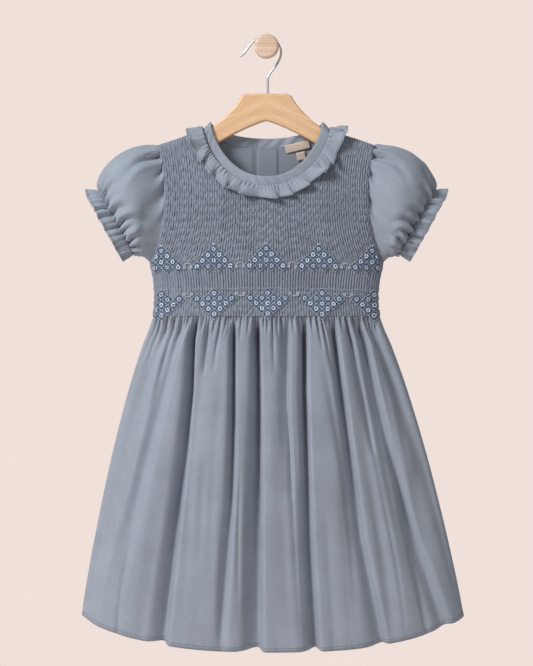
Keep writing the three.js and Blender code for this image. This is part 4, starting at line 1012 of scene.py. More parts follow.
def sleeve(hand, name):
    """One puff sleeve, with the places of its rings, its outer points and their directions out."""
    seed = SEEDS[name]
    rng = np.random.default_rng(seed)
    at = np.concatenate([
        np.linspace(0, 0.12, 14)[:-1], np.linspace(0.12, 0.82, 32)[:-1],
        np.linspace(0.82, 1.1, 26)[:-1], np.linspace(1.1, SLEEVE_END, 12),
    ])
    turn = np.linspace(0, 2 * np.pi, SLEEVE_TURNS + 1)[:-1]
    grid = sleeve_rings(at, turn)
    lengths = ring_lengths(grid)
    height = np.zeros(grid.shape[:2])
    for crease in HEAD_CREASES + ELASTIC_CREASES:
        frill = crease.at == 1
        for side in (FRONT, BACK):
            changed = side == BACK or hand > 0
            if frill:
                reach = max(0.1, 1 - CREASE_REACH * (1 - crease.at_end))
                moved = crease._replace(at_end=reach, width=ELASTIC_WIDTH * crease.width)
            else:
                moved = crease._replace(width=HEAD_WIDTH * crease.width)
            if changed:
                moved = moved._replace(
                    turn=crease.turn + rng.uniform(-4, 4), turn_end=crease.turn_end + rng.uniform(-7, 7),
                    at_end=lerp(moved.at, moved.at_end, rng.uniform(0.75, 1.0)),
                    depth=crease.depth * rng.uniform(0.8, 1.1),
                )
            if side == BACK:
                moved = moved._replace(turn=360 - moved.turn, turn_end=360 - moved.turn_end)
            height += crease_depth(moved, at, turn, lengths, frill)
    elastic = np.exp(-((at - 1) / 0.022) ** 2)[:, None]
    arc = lengths[:, :-1]
    fine = np.sin(arc / 0.55 + 2.5 * np.sin(arc / 4.1))
    height += elastic * (-1.1 + 0.5 * fine)
    head = smooth(np.cos(turn), -0.1, 0.6)[None, :] * np.exp(-at / 0.05)[:, None]
    height += head * 0.8 * np.sin(arc / 0.8 + 2 * np.sin(arc / 5.3))
    soft = waves(arc, at[:, None] * 90, seed + 4, (26, 44, 70), 1.6)
    height += soft * smooth(at, 0.08, 0.4)[:, None] * smooth(1.02 - at, 0, 0.25)[:, None]
    height *= smooth(at, -0.01, 0.05)[:, None]
    away = grid - np.array(SLEEVE_CENTRE)
    normal = grid_normals(grid, away, closed=True)
    displaced = grid + normal * height[..., None]
    edge = armhole_point(turn)
    front = (edge[:, 1] <= HANG_Y)[:, None]
    flat = np.where(
        front, bodice_normal(FRONT, edge[:, 0] - SLEEVE_GAP, edge[:, 2]),
        bodice_normal(BACK, edge[:, 0] - SLEEVE_GAP, edge[:, 2]),
    )
    flat[:, 0] = 0
    normal = grid_normals(displaced, away, closed=True)
    normal[0] = unit(flat)
    hem = smooth(at, SLEEVE_END - 0.036, SLEEVE_END - 0.024)[:, None]
    outer = displaced + normal * (CLOTH / 2 + 0.2 * hem)[..., None]
    inner = displaced - normal * (CLOTH / 2 + 0.35 * hem)[..., None]
    uv = cloth_uv(outer, inner)
    for layer in (outer, inner, normal):
        layer[..., 0] *= hand
    points, faces = shell(outer, inner, closed=True)
    piece = mesh_piece(f"puff_sleeve_{name}", points, faces, finish_of("cotton"), uv)
    return piece, at, outer, normal


# The neck

def neck_point(curve, turn):
    front = turn <= 1
    angle = np.pi / 2 * np.where(front, turn, 2 - turn)
    drop = np.where(front, curve.front_drop, curve.back_drop)
    x = curve.half_width * np.sin(angle) ** (2 / SIDE_POWER)
    z = curve.shoulder_z - drop * np.maximum(0, np.cos(angle)) ** (2 / DROP_POWER)
    return x, z, drop


def either_side(turn, function, *places):
    """A bodice function's value on the front or the back, whichever the turn is on."""
    front = turn <= 1
    a, b = function(FRONT, *places), function(BACK, *places)
    return np.where(front if a.ndim == np.ndim(front) else front[..., None], a, b)


def neck_table():
    turn = np.linspace(0, 2, 1601)
    x, z, _ = neck_point(NECK_EDGE, turn)
    points = either_side(turn, bodice_point, x, z)
    lengths = np.concatenate([[0], np.cumsum(np.linalg.norm(np.diff(points, axis=0), axis=-1))])
    return turn, lengths


NECK_TURNS, NECK_LENGTHS = neck_table()
NECK_HALF = NECK_LENGTHS[-1]


def neck_at(along):
    """Which side and which turn a length along the neck is at; 0 is the front centre, and past
    the back centre it runs on over the other side."""
    past = np.abs(along) > NECK_HALF
    wanted = np.where(past, 2 * NECK_HALF - np.abs(along), np.abs(along))
    hand = np.where(along < 0, -1.0, 1.0) * np.where(past, -1, 1)
    return hand, np.interp(wanted, NECK_LENGTHS, NECK_TURNS)


def trim_lift(x, over):
    return over * smooth(x, LAP_LEFT - LAP_RAMP - 6, LAP_LEFT - 2)


def neck_place(curve, along):
    """A point of a neck curve in space."""
    hand, turn = neck_at(along)
    x, z, _ = neck_point(curve, turn)
    edge_x, edge_z, _ = neck_point(NECK_EDGE, turn)
    depth = either_side(turn, bodice_depth, edge_x, edge_z) * curve.depth_share
    side = np.where(turn <= 1, FRONT, BACK)
    lifted = (side == BACK) & (along < 0)
    lift = np.where(lifted, trim_lift(hand * x, LAP_BAND_OVER), 0)
    return np.stack([hand * x, HANG_Y + side * (depth + lift), z], axis=-1)


def neck_band():
    """The bound neck band, with its outer points and their directions out."""
    along = np.linspace(-NECK_HALF - LAP_RIGHT, NECK_HALF - LAP_LEFT, BAND_COLUMNS)
    up = np.array([0, 0.02, 0.07, 0.16, 0.28, 0.42, 0.56, 0.7, 0.8, 0.88, 0.93, 0.965, 0.99, 1])
    edge, top = neck_place(NECK_EDGE, along), neck_place(NECK_TOP, along)
    share = lerp(BAND_START, 1, up)[:, None, None]
    middle = lerp(edge[None], top[None], share)
    away = np.stack([middle[..., 0], (middle[..., 1] - HANG_Y) * 3, np.full(middle.shape[:2], 40.0)], axis=-1)
    normal = grid_normals(middle, away)
    normal[:, [0, -1], 0] = 0
    normal = unit(normal)
    ends = smooth(np.minimum(along - along[0], along[-1] - along), 0, 3)
    # slanting drag wrinkles of a bias-cut band
    slant = along[None] / 2.3 + 5.2 * up[:, None] + 1.8 * np.sin(along[None] / 17)
    strength = (0.55 + 0.45 * np.sin(along[None] / 23 + 1)) * np.sin(np.pi * up)[:, None] ** 0.5
    wrinkle = 0.75 * np.sin(slant) * strength
    # small puckers beside the seam of the ruffle
    pucker = 0.5 * np.sin(2 * np.pi * along[None] / 3.1 + np.sin(along[None] / 5))
    pucker = pucker * np.exp(-up / 0.22)[:, None]
    middle = middle + normal * ((wrinkle + pucker) * ends)[..., None]
    rounded = np.sqrt(np.clip(1 - ((up - 0.82) / 0.18).clip(0) ** 2, 0.02, 1))
    rounded = rounded * np.sqrt(np.clip(up / 0.05, 0.35, 1))
    half = (BAND_THICK / 2 * rounded)[:, None, None]
    outer, inner = middle + normal * half, middle - normal * half
    points, faces = shell(outer, inner)
    piece = mesh_piece("bound_neck_band", points, faces, finish_of("cotton"), cloth_uv(outer, inner))
    return piece, outer, normal


def ruffle_base(along, distance, lift):
    """A point of the bodice beside the neck, moved out along its normal."""
    hand, turn = neck_at(along)
    x, z, drop = neck_point(NECK_EDGE, turn)
    fall = np.clip((NECK_EDGE.shoulder_z - z) / drop, 0, 1)
    out_x = SIDE_POWER / NECK_EDGE.half_width * (x / NECK_EDGE.half_width) ** (SIDE_POWER - 1)
    out_z = DROP_POWER / drop * fall ** (DROP_POWER - 1)
    length = np.hypot(out_x, out_z)
    px = x + distance * out_x / length
    fall_off = SHOULDER_SLOPE * (px - x) * np.maximum(0, 1 - 2 * np.abs(turn - 1))
    pz = np.minimum(z - distance * out_z / length - fall_off, shoulder_z(px))
    point = either_side(turn, bodice_point, px, pz)
    point = point + either_side(turn, bodice_normal, px, pz) * lift[..., None]
    point[..., 0] *= hand
    return point


def ruffle_folds(sizes):
    """Places along the neck of the ruffle's folds, with the height and lean of each."""
    rng = np.random.default_rng(SEEDS["ruffle"])
    places, place = [], -NECK_HALF - LAP_RIGHT
    while place < NECK_HALF + 20:
        places.append(place)
        place += rng.uniform(0.62, 1.4) * sizes.ruffle_wave / MM
    places = np.array(places)
    return places, rng.uniform(0.55, 1.25, len(places)), rng.choice([-1.0, 1.0], len(places), p=[0.35, 0.65])


def neck_ruffle(sizes):
    """The ruffle, with its outer points and their directions out."""
    start, end = -NECK_HALF - LAP_RIGHT, NECK_HALF - LAP_RIGHT - 1
    along = np.linspace(start, end, RUFFLE_COLUMNS)[None, :]
    down = (np.linspace(0, 1, RUFFLE_ROWS) ** 0.9)[:, None]
    places, tall, lean_way = ruffle_folds(sizes)
    k = np.clip(np.searchsorted(places, along[0]) - 1, 0, len(places) - 2)
    phase = (along[0] - places[k]) / (places[k + 1] - places[k])
    crest = np.sin(np.pi * phase) ** 2 * tall[k]
    ends = smooth(np.minimum(along - start, end - along), 0, 5)
    rise = down ** 1.2 * ends
    lean = 9.0 * lean_way[k] * np.sin(np.pi * phase) ** 2 * tall[k]
    _, turn = neck_at(along)
    width = lerp(RUFFLE_FRONT, RUFFLE_SHOULDER, np.maximum(0, 1 - np.abs(turn - 1)))
    width = width * (1 - 0.16 * (1 - crest) * down) * (1 + 0.05 * np.sin(along / 9.7))
    height = RUFFLE_CLEAR + RUFFLE_LIFT * down + 8.6 * crest * rise
    height = height + LAP_OVER * smooth(turn, 1.55, 1.8)
    gather = np.sin(2 * np.pi * along / 4.1 + 2.6 * np.sin(along / 6.1)) * (0.7 + 0.4 * np.sin(along / 4.7))
    height = height + 0.95 * gather * np.exp(-((down - 0.14) / 0.26) ** 2) * ends
    middle = ruffle_base(along + lean * rise, width * down, height)
    away = np.stack([middle[..., 0], (middle[..., 1] - HANG_Y) * 4, np.full(middle.shape[:2], 30.0)], axis=-1)
    normal = grid_normals(middle, away)
    hem = smooth(down, 0.86, 0.9)
    outer = middle + normal * (RUFFLE_THICK / 2 + 0.12 * hem)[..., None]
    inner = middle - normal * (RUFFLE_THICK / 2 + 0.12 * hem)[..., None]
    points, faces = shell(outer, inner)
    piece = mesh_piece("gathered_neck_ruffle", points, faces, finish_of("cotton"), cloth_uv(outer, inner))
    return piece, outer, normal


# Labels and buttons

def label(patch, name):
    columns, rows = 24, 12
    tilt = math.radians(patch.tilt)
    across = np.linspace(-0.5, 0.5, columns + 1)[None, :] * patch.width
    up = np.linspace(0.5, -0.5, rows + 1)[:, None] * patch.height
    x = patch.x + across * math.cos(tilt) - up * math.sin(tilt)
    z = patch.z + across * math.sin(tilt) + up * math.cos(tilt)
    normal = bodice_normal(BACK, x, z)
    edge = np.minimum(patch.width / 2 - np.abs(across), patch.height / 2 - np.abs(up))
    lift = 0.35 * np.sin(across / 6 + 0.6) + 0.1 * smooth(edge, 0, 1)
    base = bodice_point(BACK, x, z)
    outer = base - normal * (patch.inset + lift)[..., None]
    inner = base - normal * (patch.inset + patch.thick * smooth(edge, -0.6, 0.7) + lift)[..., None]
    points, faces = shell(outer, inner)
    return mesh_piece(name, points, faces, finish_of("label"), cloth_uv(outer, inner))


def lathe(profile, sides):
    """Points and faces of a turned shape about the Y axis; the profile runs from axis to axis."""
    turn = np.linspace(0, 2 * np.pi, sides + 1)[:-1]
    rings = [(r, y) for r, y in profile if r > 0]
    grid = np.array([[(r * math.cos(a), y, r * math.sin(a)) for a in turn] for r, y in rings])
    index = np.arange(grid[..., 0].size).reshape(grid.shape[:2])
    index = np.concatenate([index, index[:, :1]], axis=1)
    faces = quads(index, False)
    points = np.concatenate([grid.reshape(-1, 3), [(0, profile[0][1], 0), (0, profile[-1][1], 0)]])
    first, last = len(points) - 2, len(points) - 1
    faces += [[first, b, a] for a, b in zip(index[0, :-1].tolist(), index[0, 1:].tolist())]
    faces += [[last, a, b] for a, b in zip(index[-1, :-1].tolist(), index[-1, 1:].tolist())]
    return points, faces


def turned_onto(points, normal):
    """Turns points made about the Y axis so that Y lies along a normal."""
    turn = Vector((0, 1, 0)).rotation_difference(Vector(normal)).to_matrix()
    return points @ np.array(turn).T


def buttons():
    """The three buttons, and the stitches of thread that cross on each."""
    pieces, sewn = [], []
    profile = [(0, 0), (BUTTON_R * 0.8, 0)]
    profile += [(BUTTON_R - 0.25, 0.5), (BUTTON_R, 1.0)]
    profile += [(BUTTON_R - 0.1, 1.6), (BUTTON_R - 0.6, BUTTON_THICK)]
    profile += [(BUTTON_R - 1.1, BUTTON_THICK - 0.1), (BUTTON_R - 1.6, 1.6), (0.3, 1.5), (0, 1.5)]
    for k, z in enumerate(BUTTON_HEIGHTS):
        normal = bodice_normal(BACK, BUTTON_X, z)
        base = bodice_point(BACK, BUTTON_X, z) + normal * (LAP_OVER + CLOTH / 2 + BUTTON_GAP)
        points, faces = lathe(profile, 48)
        points = turned_onto(points, normal) + base
        pieces.append(mesh_piece(f"back_button_{k + 1}", points, faces, finish_of("button")))
        for cross in (-1, 1):
            for shift in (-0.35, 0.35):
                along = np.array([cross * 0.7, 0, 0.7])
                across = np.cross(along, [0, 1, 0])
                place = np.array([[0, 1.7, 0]]) + across * shift
                sewn.append(stitch_rows(
                    turned_onto(place, normal) + base, turned_onto(along[None], normal),
                    normal[None], 2.6, 0.45, 0.4,
                ))
    return pieces, sewn


def quadratic(start, middle, end, count=14):
    t = np.linspace(0, 1, count + 1)[1:, None]
    a, b, c = (np.array(p, float) for p in (start, middle, end))
    return a * (1 - t) ** 2 + b * 2 * t * (1 - t) + c * t * t


def hanger_outline():
    """Half of the hanger's outline, from the middle of its top to the middle of its underside."""
    parts = [
        np.linspace((0.0, -53.6), (24.0, -53.9), 9),
        quadratic((24, -53.9), (28, -54.4), (29.4, -57.2)),
        quadratic((29.4, -57.2), (38, -73.5), (62, -91.8)),
        quadratic((62, -91.8), (68.5, -99.4), (84, -104)),
        np.linspace((84.0, -104.0), (112.0, -113.0), 9)[1:],
        quadratic((112, -113), (121.5, -116.4), (120.3, -122.5)),
        quadratic((120.3, -122.5), (118.5, -130.4), (110, -130.5)),
        quadratic((110, -130.5), (80, -124.4), (56, -111.3)),
        quadratic((56, -111.3), (28, -94.5), (4, -86.3)),
        quadratic((4, -86.3), (0, -85.3), (0, -85.3)),
    ]
    return np.concatenate(parts)


def hanger():
    right = hanger_outline()
    left = right[-2:0:-1] * (-1, 1)
    outline = np.concatenate([right, left])
    keep = np.linalg.norm(outline - np.roll(outline, 1, axis=0), axis=1) > 0.05
    outline = outline[keep]
    tangent = unit(np.roll(outline, -1, axis=0) - np.roll(outline, 1, axis=0))
    inward = np.stack([tangent[:, 1], -tangent[:, 0]], axis=1)
    turns = np.radians(np.linspace(0, 90, 7))
    half = HANGER_THICK / 2
    insets = HANGER_ROUND * (1 - np.sin(turns))
    depths = half - HANGER_ROUND * (1 - np.cos(turns))
    flat_rim = HANGER_ROUND + 0.4  # a ring on the flat face keeps its shading flat
    rings = [(flat_rim, -half)] + [(inset, -depth) for inset, depth in zip(insets, depths)]
    rings += [(inset, depth) for inset, depth in zip(insets[::-1], depths[::-1])] + [(flat_rim, half)]
    grid = np.array([
        np.stack([line[:, 0], np.full(len(line), HANG_Y + y), line[:, 1]], axis=1)
        for line, y in ((outline + inward * inset, y) for inset, y in rings)
    ])
    count = len(outline)
    index = np.arange(grid[..., 0].size).reshape(grid.shape[:2])
    faces = quads(np.concatenate([index, index[:, :1]], axis=1), False)
    for row, flipped in ((0, True), (len(grid) - 1, False)):
        corners = tessellate_polygon([[Vector(point) for point in grid[row]]])
        area = sum(
            np.cross(grid[row][b] - grid[row][a], grid[row][c] - grid[row][a])[1] for a, b, c in corners
        )
        turned = (area > 0) != flipped
        offset = row * count
        faces += [[c + offset, b + offset, a + offset] if turned else [a + offset, b + offset, c + offset]
                  for a, b, c in corners]
    piece = mesh_piece("wooden_hanger", grid.reshape(-1, 3), faces, finish_of("hanger"))
    for face in piece.data.polygons:
        face.use_smooth = abs(face.normal.y) < 0.995
    return piece


def curve_through(points, count):
    """Points of a smooth curve through the given ones, evenly spaced by their square-rooted chords."""
    points = np.array(points, float)
    ends = np.concatenate([[2 * points[0] - points[1]], points, [2 * points[-1] - points[-2]]])
    line = []
    for k in range(len(points) - 1):
        a, b, c, d = ends[k:k + 4]
        t0 = 0
        t1 = t0 + np.linalg.norm(b - a) ** 0.5
        t2 = t1 + np.linalg.norm(c - b) ** 0.5
        t3 = t2 + np.linalg.norm(d - c) ** 0.5
        for t in np.linspace(t1, t2, count + 1)[:-1]:
            ab = lerp(a, b, (t - t0) / (t1 - t0))
            bc = lerp(b, c, (t - t1) / (t2 - t1))
            cd = lerp(c, d, (t - t2) / (t3 - t2))
            line.append(lerp(lerp(ab, bc, (t - t0) / (t2 - t0)), lerp(bc, cd, (t - t1) / (t3 - t1)),
                             (t - t1) / (t2 - t1)))
    return np.array(line + [points[-1]])


def hook():
    bend = [(BEND_X + BEND_R * math.cos(math.radians(a)), BEND_Z + BEND_R * math.sin(math.radians(a)))
            for a in (-18, 8, 34, 60, 86, 108, 126)]
    route = [(HOOK_STEM_X, -53.3), (HOOK_STEM_X, -44), (HOOK_STEM_X + 0.3, -34.5), (HOOK_STEM_X + 4.2, -28.2),
             (HOOK_STEM_X + 9.6, -21), *bend, (-17.6, 3.6), (-21.6, -1.6), (-25.4, -7.0), (-30.6, -11.4)]
    line = curve_through(route, 8)
    tangent = unit(np.gradient(line, axis=0))
    radius = np.full(len(line), HOOK_R)
    tip = np.linalg.norm(line - line[-1], axis=1)
    radius = radius * np.sqrt(np.clip(1 - (1 - tip / HOOK_R).clip(0) ** 2, 0.02, 1))
    sides = np.linspace(0, 2 * np.pi, 19)[:-1]
    across = np.stack([-tangent[:, 1], tangent[:, 0]], axis=1)
    plane = line[:, None] + across[:, None] * (np.cos(sides)[None] * radius[:, None])[..., None]
    y = HANG_Y + np.sin(sides)[None] * radius[:, None]
    grid = np.stack([plane[..., 0], y, plane[..., 1]], axis=-1)
    index = np.arange(y.size).reshape(y.shape)
    index = np.concatenate([index, index[:, :1]], axis=1)
    caps = [index[0, :-1].tolist(), index[-1, :-1].tolist()]
    faces = quads(index, False)
    first, last = y.size, y.size + 1
    faces += [[first, b, a] for a, b in zip(caps[0], caps[0][1:] + caps[0][:1])]
    faces += [[last, a, b] for a, b in zip(caps[1], caps[1][1:] + caps[1][:1])]
    ends = [(line[0, 0], HANG_Y, line[0, 1]), (line[-1, 0], HANG_Y, line[-1, 1])]
    points = np.concatenate([grid.reshape(-1, 3), ends])
    return mesh_piece("wire_hook", points, faces, finish_of("wire"))


def knob():
    head, back, length = KNOB_HEAD_R, KNOB_HEAD_BACK, KNOB_LENGTH
    profile = [(0, 0), (KNOB_STEM_R, 0), (KNOB_STEM_R, -20), (KNOB_STEM_R, -length + 14)]
    profile += [(KNOB_STEM_R + 0.4, back + 1.0), (KNOB_STEM_R + 1.4, back), (head - 1.6, back)]
    profile += [(head - 0.6, back - 0.4), (head, back - 1.4), (head, -length + KNOB_EDGE)]
    profile += [(head - KNOB_EDGE + r, y) for r, y in (
        (KNOB_EDGE * math.cos(a), -length + KNOB_EDGE - KNOB_EDGE * math.sin(a))
        for a in np.radians(np.linspace(12, 90, 8))
    )]
    profile += [(4.0, -length), (0, -length)]
    points, faces = lathe(profile, 96)
    return mesh_piece("turned_wall_knob", points, faces, finish_of("knob"))


# Stitches: rows of (point, direction along, direction out, length, width, shade)

STITCH_SIDES, STITCH_FULLNESS = 6, 0.8  # sides of a stitch, and its height as a share of its width


def stitch_rows(points, along, out, length, width, shade):
    points, along, out = (np.atleast_2d(a) for a in (points, along, out))
    count = len(points)
    along = np.broadcast_to(along, (count, 3))
    out = np.broadcast_to(out, (count, 3))
    values = [np.broadcast_to(value, count)[:, None] for value in (length, width, shade)]
    return np.concatenate([points, along, out, *values], axis=1)


def stitch_line(line, normals, sizes, lift=0.15):
    """Machine stitches along a line of points on a surface."""
    pitch, reach = 3.2, 0.6
    steps = np.linalg.norm(np.diff(line, axis=0), axis=1)
    lengths = np.concatenate([[0], np.cumsum(steps)])
    at = np.arange(pitch / 2, lengths[-1], pitch)
    ahead, behind = np.minimum(at + reach, lengths[-1]), np.maximum(at - reach, 0)
    point, after, before, out = (
        np.stack([np.interp(place, lengths, source[:, axis]) for axis in range(3)], axis=1)
        for place, source in ((at, line), (ahead, line), (behind, line), (at, normals))
    )
    out = unit(out)
    long, wide = sizes.stitch_length / MM, sizes.sewing_width / MM
    return stitch_rows(point + out * lift, unit(after - before), out, long, wide, 0.0)


def stitch_tree():
    """A tree that lays one rounded stitch on every point, turned along and out of the cloth, and
    the sockets for its sides, its fullness and its thread."""
    tree = bpy.data.node_groups.new("sewn stitches", "GeometryNodeTree")
    tree.interface.new_socket("Points", in_out="INPUT", socket_type="NodeSocketGeometry")
    sides = tree.interface.new_socket("Sides", in_out="INPUT", socket_type="NodeSocketInt")
    fullness = tree.interface.new_socket("Fullness", in_out="INPUT", socket_type="NodeSocketFloat")
    thread_socket = tree.interface.new_socket("Thread", in_out="INPUT", socket_type="NodeSocketMaterial")
    tree.interface.new_socket("Stitches", in_out="OUTPUT", socket_type="NodeSocketGeometry")
    given = add(tree, "NodeGroupInput").outputs
    ball = add(tree, "GeometryNodeMeshUVSphere", {"Segments": given["Sides"], "Rings": 4, "Radius": 0.5})

    def named(name, kind):
        return add(tree, "GeometryNodeInputNamedAttribute", {"Name": name}, data_type=kind).outputs[0]

    turn = add(tree, "FunctionNodeAxesToRotation", {
        "Primary Axis": named("along", "FLOAT_VECTOR"), "Secondary Axis": named("out", "FLOAT_VECTOR"),
    }, primary_axis="X", secondary_axis="Z")
    height = add(tree, "ShaderNodeMath", {
        0: named("wide", "FLOAT"), 1: given["Fullness"],
    }, operation="MULTIPLY")
    size = add(tree, "ShaderNodeCombineXYZ", {
        "X": named("long", "FLOAT"), "Y": named("wide", "FLOAT"), "Z": height.outputs[0],
    })
    placed = add(tree, "GeometryNodeInstanceOnPoints", {
        "Points": given["Points"], "Instance": ball.outputs["Mesh"],
        "Rotation": turn.outputs[0], "Scale": size.outputs[0],
    })
    real = add(tree, "GeometryNodeRealizeInstances", {"Geometry": placed.outputs[0]})
    rounded_off = add(tree, "GeometryNodeSetShadeSmooth", {"Geometry": real.outputs[0]})
    dressed = add(tree, "GeometryNodeSetMaterial", {
        "Geometry": rounded_off.outputs[0], "Material": given["Thread"],
    })
    add(tree, "NodeGroupOutput", {"Stitches": dressed.outputs[0]})
    return tree, sides, fullness, thread_socket


def stitches(name, rows, key):
    """One mesh of stitches from their rows."""
    rows = np.concatenate(rows)
    mesh = bpy.data.meshes.new(name)
    mesh.from_pydata((rows[:, :3] * MM).tolist(), [], [])
    for label_name, columns in (("along", slice(3, 6)), ("out", slice(6, 9))):
        layer = mesh.attributes.new(label_name, "FLOAT_VECTOR", "POINT")
        layer.data.foreach_set("vector", rows[:, columns].astype(np.float32).ravel())
    for label_name, column, unit_size in (("long", 9, MM), ("wide", 10, MM), ("shade", 11, 1)):
        layer = mesh.attributes.new(label_name, "FLOAT", "POINT")
        layer.data.foreach_set("value", (rows[:, column] * unit_size).astype(np.float32))
    piece = bpy.data.objects.new(name, mesh)
    bpy.context.collection.objects.link(piece)
    tree, sides, fullness, thread_socket = stitch_tree()
    modifier = piece.modifiers.new("stitches", "NODES")
    modifier.node_group = tree
    modifier[sides.identifier] = STITCH_SIDES
    modifier[fullness.identifier] = STITCH_FULLNESS
    modifier[thread_socket.identifier] = finish_of(key)
    evaluated = piece.evaluated_get(bpy.context.evaluated_depsgraph_get())
    sewn = bpy.data.meshes.new_from_object(evaluated)
    piece.modifiers.remove(modifier)
    piece.data = sewn
    sewn.name = name
    if not len(sewn.polygons):
        raise RuntimeError(f"{name} came out empty")
    bpy.data.meshes.remove(mesh)
    bpy.data.node_groups.remove(tree)
    return piece


def level_line(grid, values, wanted):
    """The line across a grid where a value, given for each row or point, has the wanted size."""
    values = np.broadcast_to(values[:, None] if np.ndim(values) == 1 else values, grid.shape[:2])
    reached = values >= wanted if values[0, 0] < values[-1, 0] else values <= wanted
    row = np.clip(np.argmax(reached, axis=0), 1, len(grid) - 1)
    column = np.arange(grid.shape[1])
    a, b = values[row - 1, column], values[row, column]
    t = np.clip((wanted - a) / (b - a), 0, 1)[:, None]
    return lerp(grid[row - 1, column], grid[row, column], t)


# Embroidery

def on_front(x, z, angle, length, width, shade, lift=FLOSS_LIFT):
    """Stitches on the smocked front at x and z, lying at an angle to the level."""
    x, z, angle = np.broadcast_arrays(np.atleast_1d(x), np.atleast_1d(z), np.atleast_1d(angle))
    z = z - BAND_DROP * (x / BAND_HALF) ** 2
    inside = np.abs(x) < bodice_edge(z) - 4
    x, z, angle = x[inside], z[inside], angle[inside]
    length, width, shade = (np.broadcast_to(v, inside.shape)[inside] for v in (length, width, shade))
    point, out = bodice_point(FRONT, x, z), bodice_normal(FRONT, x, z)
    ahead = bodice_point(FRONT, x + 0.1 * np.cos(angle), z + 0.1 * np.sin(angle))
    return stitch_rows(point + out * lift, unit(ahead - point), out, length, width, shade)


def rosette(x, z, size, pale, rng):
    """A rosette of flossed petals round a darker middle."""
    turn = rng.uniform(0, 2 * np.pi) + np.arange(PETALS) * 2 * np.pi / PETALS + rng.normal(0, 0.14, PETALS)
    reach = PETAL_REACH * size * rng.uniform(0.85, 1.15, PETALS)
    rows = [on_front(
        x + reach * np.cos(turn), z + reach * np.sin(turn) * 1.05,
        turn + np.pi / 2 + rng.normal(0, 0.25, PETALS),
        PETAL_LENGTH * size * rng.uniform(0.85, 1.1, PETALS), PETAL_WIDTH * size,
        pale * rng.uniform(0.8, 1.0, PETALS),
    )]
    turn = turn[:3] + 0.5
    rows.append(on_front(
        x + 0.6 * size * np.cos(turn), z + 0.6 * size * np.sin(turn), turn + 0.6, 1.7 * size, 0.9 * size,
        0.2 * pale, FLOSS_LIFT - 0.1,
    ))
    return rows


def diamond(x, z, rng):
    """The outline of one diamond: a light line on its edges and a dark stripe inside."""
    rows = []
    for across, up in ((1, 1), (1, -1), (-1, -1), (-1, 1)):
        for scale, shade, width, count in RINGS:
            t = (np.arange(count) + 0.5) / count
            px = x + across * CELL_X * scale * t
            pz = z + up * CELL_Z * scale * (1 - t)
            angle = math.atan2(-up * CELL_Z, across * CELL_X)
            long = math.hypot(CELL_X, CELL_Z) * scale / count
            rows.append(on_front(
                px, pz, angle + rng.normal(0, 0.1, count), long * 1.02, width,
                shade + rng.uniform(0, 0.12, count), FLOSS_LIFT - 0.25,
            ))
    return rows


def embroidery():
    """All the stitches of the two bands."""
    rng = np.random.default_rng(SEEDS["embroidery"])
    rows = []
    for peak in PEAKS:
        for row, places, size, pale in UPPER_ROWS:
            for place in places:
                x, z = peak + place * CELL_X * 0.97, UPPER_APEX_Z - row * CELL_Z
                rows += diamond(x, z, rng)
                rows += rosette(x, z, size, pale, rng)
        tuft_z = UPPER_APEX_Z + 5.2
        rows.append(on_front([peak, peak - 1.1, peak + 1.1], [tuft_z, tuft_z + 1.2, tuft_z + 1.2],
                             [math.pi / 2, 0.4, -0.4], 2.4, 0.7, 0.9))
        for hand in (-1, 1):
            x, z = peak + hand * 29.0, UPPER_APEX_Z - 3.1 * CELL_Z
            rows += rosette(x - 3.0 * hand, z, SMALL_ROSETTE, SMALL_PALE, rng)
            rows.append(on_front(x + np.array([-3.4, -1.2, 1.2, 3.4]), z + np.array([3.2, 4.6, 4.6, 3.2]),
                                 np.array([1.0, 0.3, -0.3, -1.0]), 2.5, 0.7, 0.75))
    for centre in LOWER_CENTRES:
        for row, places, size, pale in LOWER_ROWS:
            for place in places:
                x, z = centre + place * CELL_X, LOWER_TOP_Z - row * CELL_Z * 0.92
                rows += diamond(x, z, rng)
                rows += rosette(x, z, size, pale, rng)
        for hand in (-1, 1):
            x, z = centre + hand * 29.6, LOWER_TOP_Z - 0.5
            if hand > 0:
                rows += rosette(x - 4.2, z, SMALL_ROSETTE, SMALL_PALE, rng)
                rows += rosette(x + 4.2, z, SMALL_ROSETTE, SMALL_PALE, rng)
            rows.append(on_front(x + np.array([-2.2, 0, 2.2]), z + np.array([-2.4, -3.0, -2.4]),
                                 np.array([-0.6, 0, 0.6]), 2.5, 0.7, 0.75))
        marks = centre + np.array([-15.0, 15.0])
        rows.append(on_front(marks, LOWER_TOP_Z, 0.1, 2.2, 0.8, 0.8))
        rows.append(on_front([centre, centre], [-313.4, -315.6], math.pi / 2, 2.2, 0.7, 0.9))
    dots = np.arange(-125, 126, DOT_PITCH)
    height = DOT_Z + 0.3 * np.sin(dots / 5)
    rows.append(on_front(dots, height, rng.normal(0, 0.12, len(dots)), 1.7, 0.6, 0.6))
    return rows


# What a user would change

class DressSizes(bpy.types.PropertyGroup):
    pleats: bpy.props.IntProperty(
        name="Smocked pleats", description="Pleats across the smocked front", default=88, min=40, max=120)
    pleat_height: bpy.props.FloatProperty(
        name="Pleat height", description="How far a pleat stands out", default=0.0023, unit="LENGTH")
    row_height: bpy.props.FloatProperty(
        name="Smocking row", description="Height of one row of smocking", default=0.0082, unit="LENGTH")
    hem_height: bpy.props.FloatProperty(
        name="Hem", description="Height of the turned hem", default=0.0046, unit="LENGTH")
    ruffle_wave: bpy.props.FloatProperty(
        name="Ruffle fold", description="Usual distance between folds of the neck ruffle",
        default=0.0155, unit="LENGTH")
    stitch_length: bpy.props.FloatProperty(
        name="Stitch", description="Length of a machine stitch", default=0.0023, unit="LENGTH")
    sewing_width: bpy.props.FloatProperty(
        name="Sewing thread", description="Width of the sewing thread", default=0.0007, unit="LENGTH")


def colour_property(name, description, colour):
    return bpy.props.FloatVectorProperty(
        name=name, description=description, default=linear(colour), subtype="COLOR", min=0, max=1)


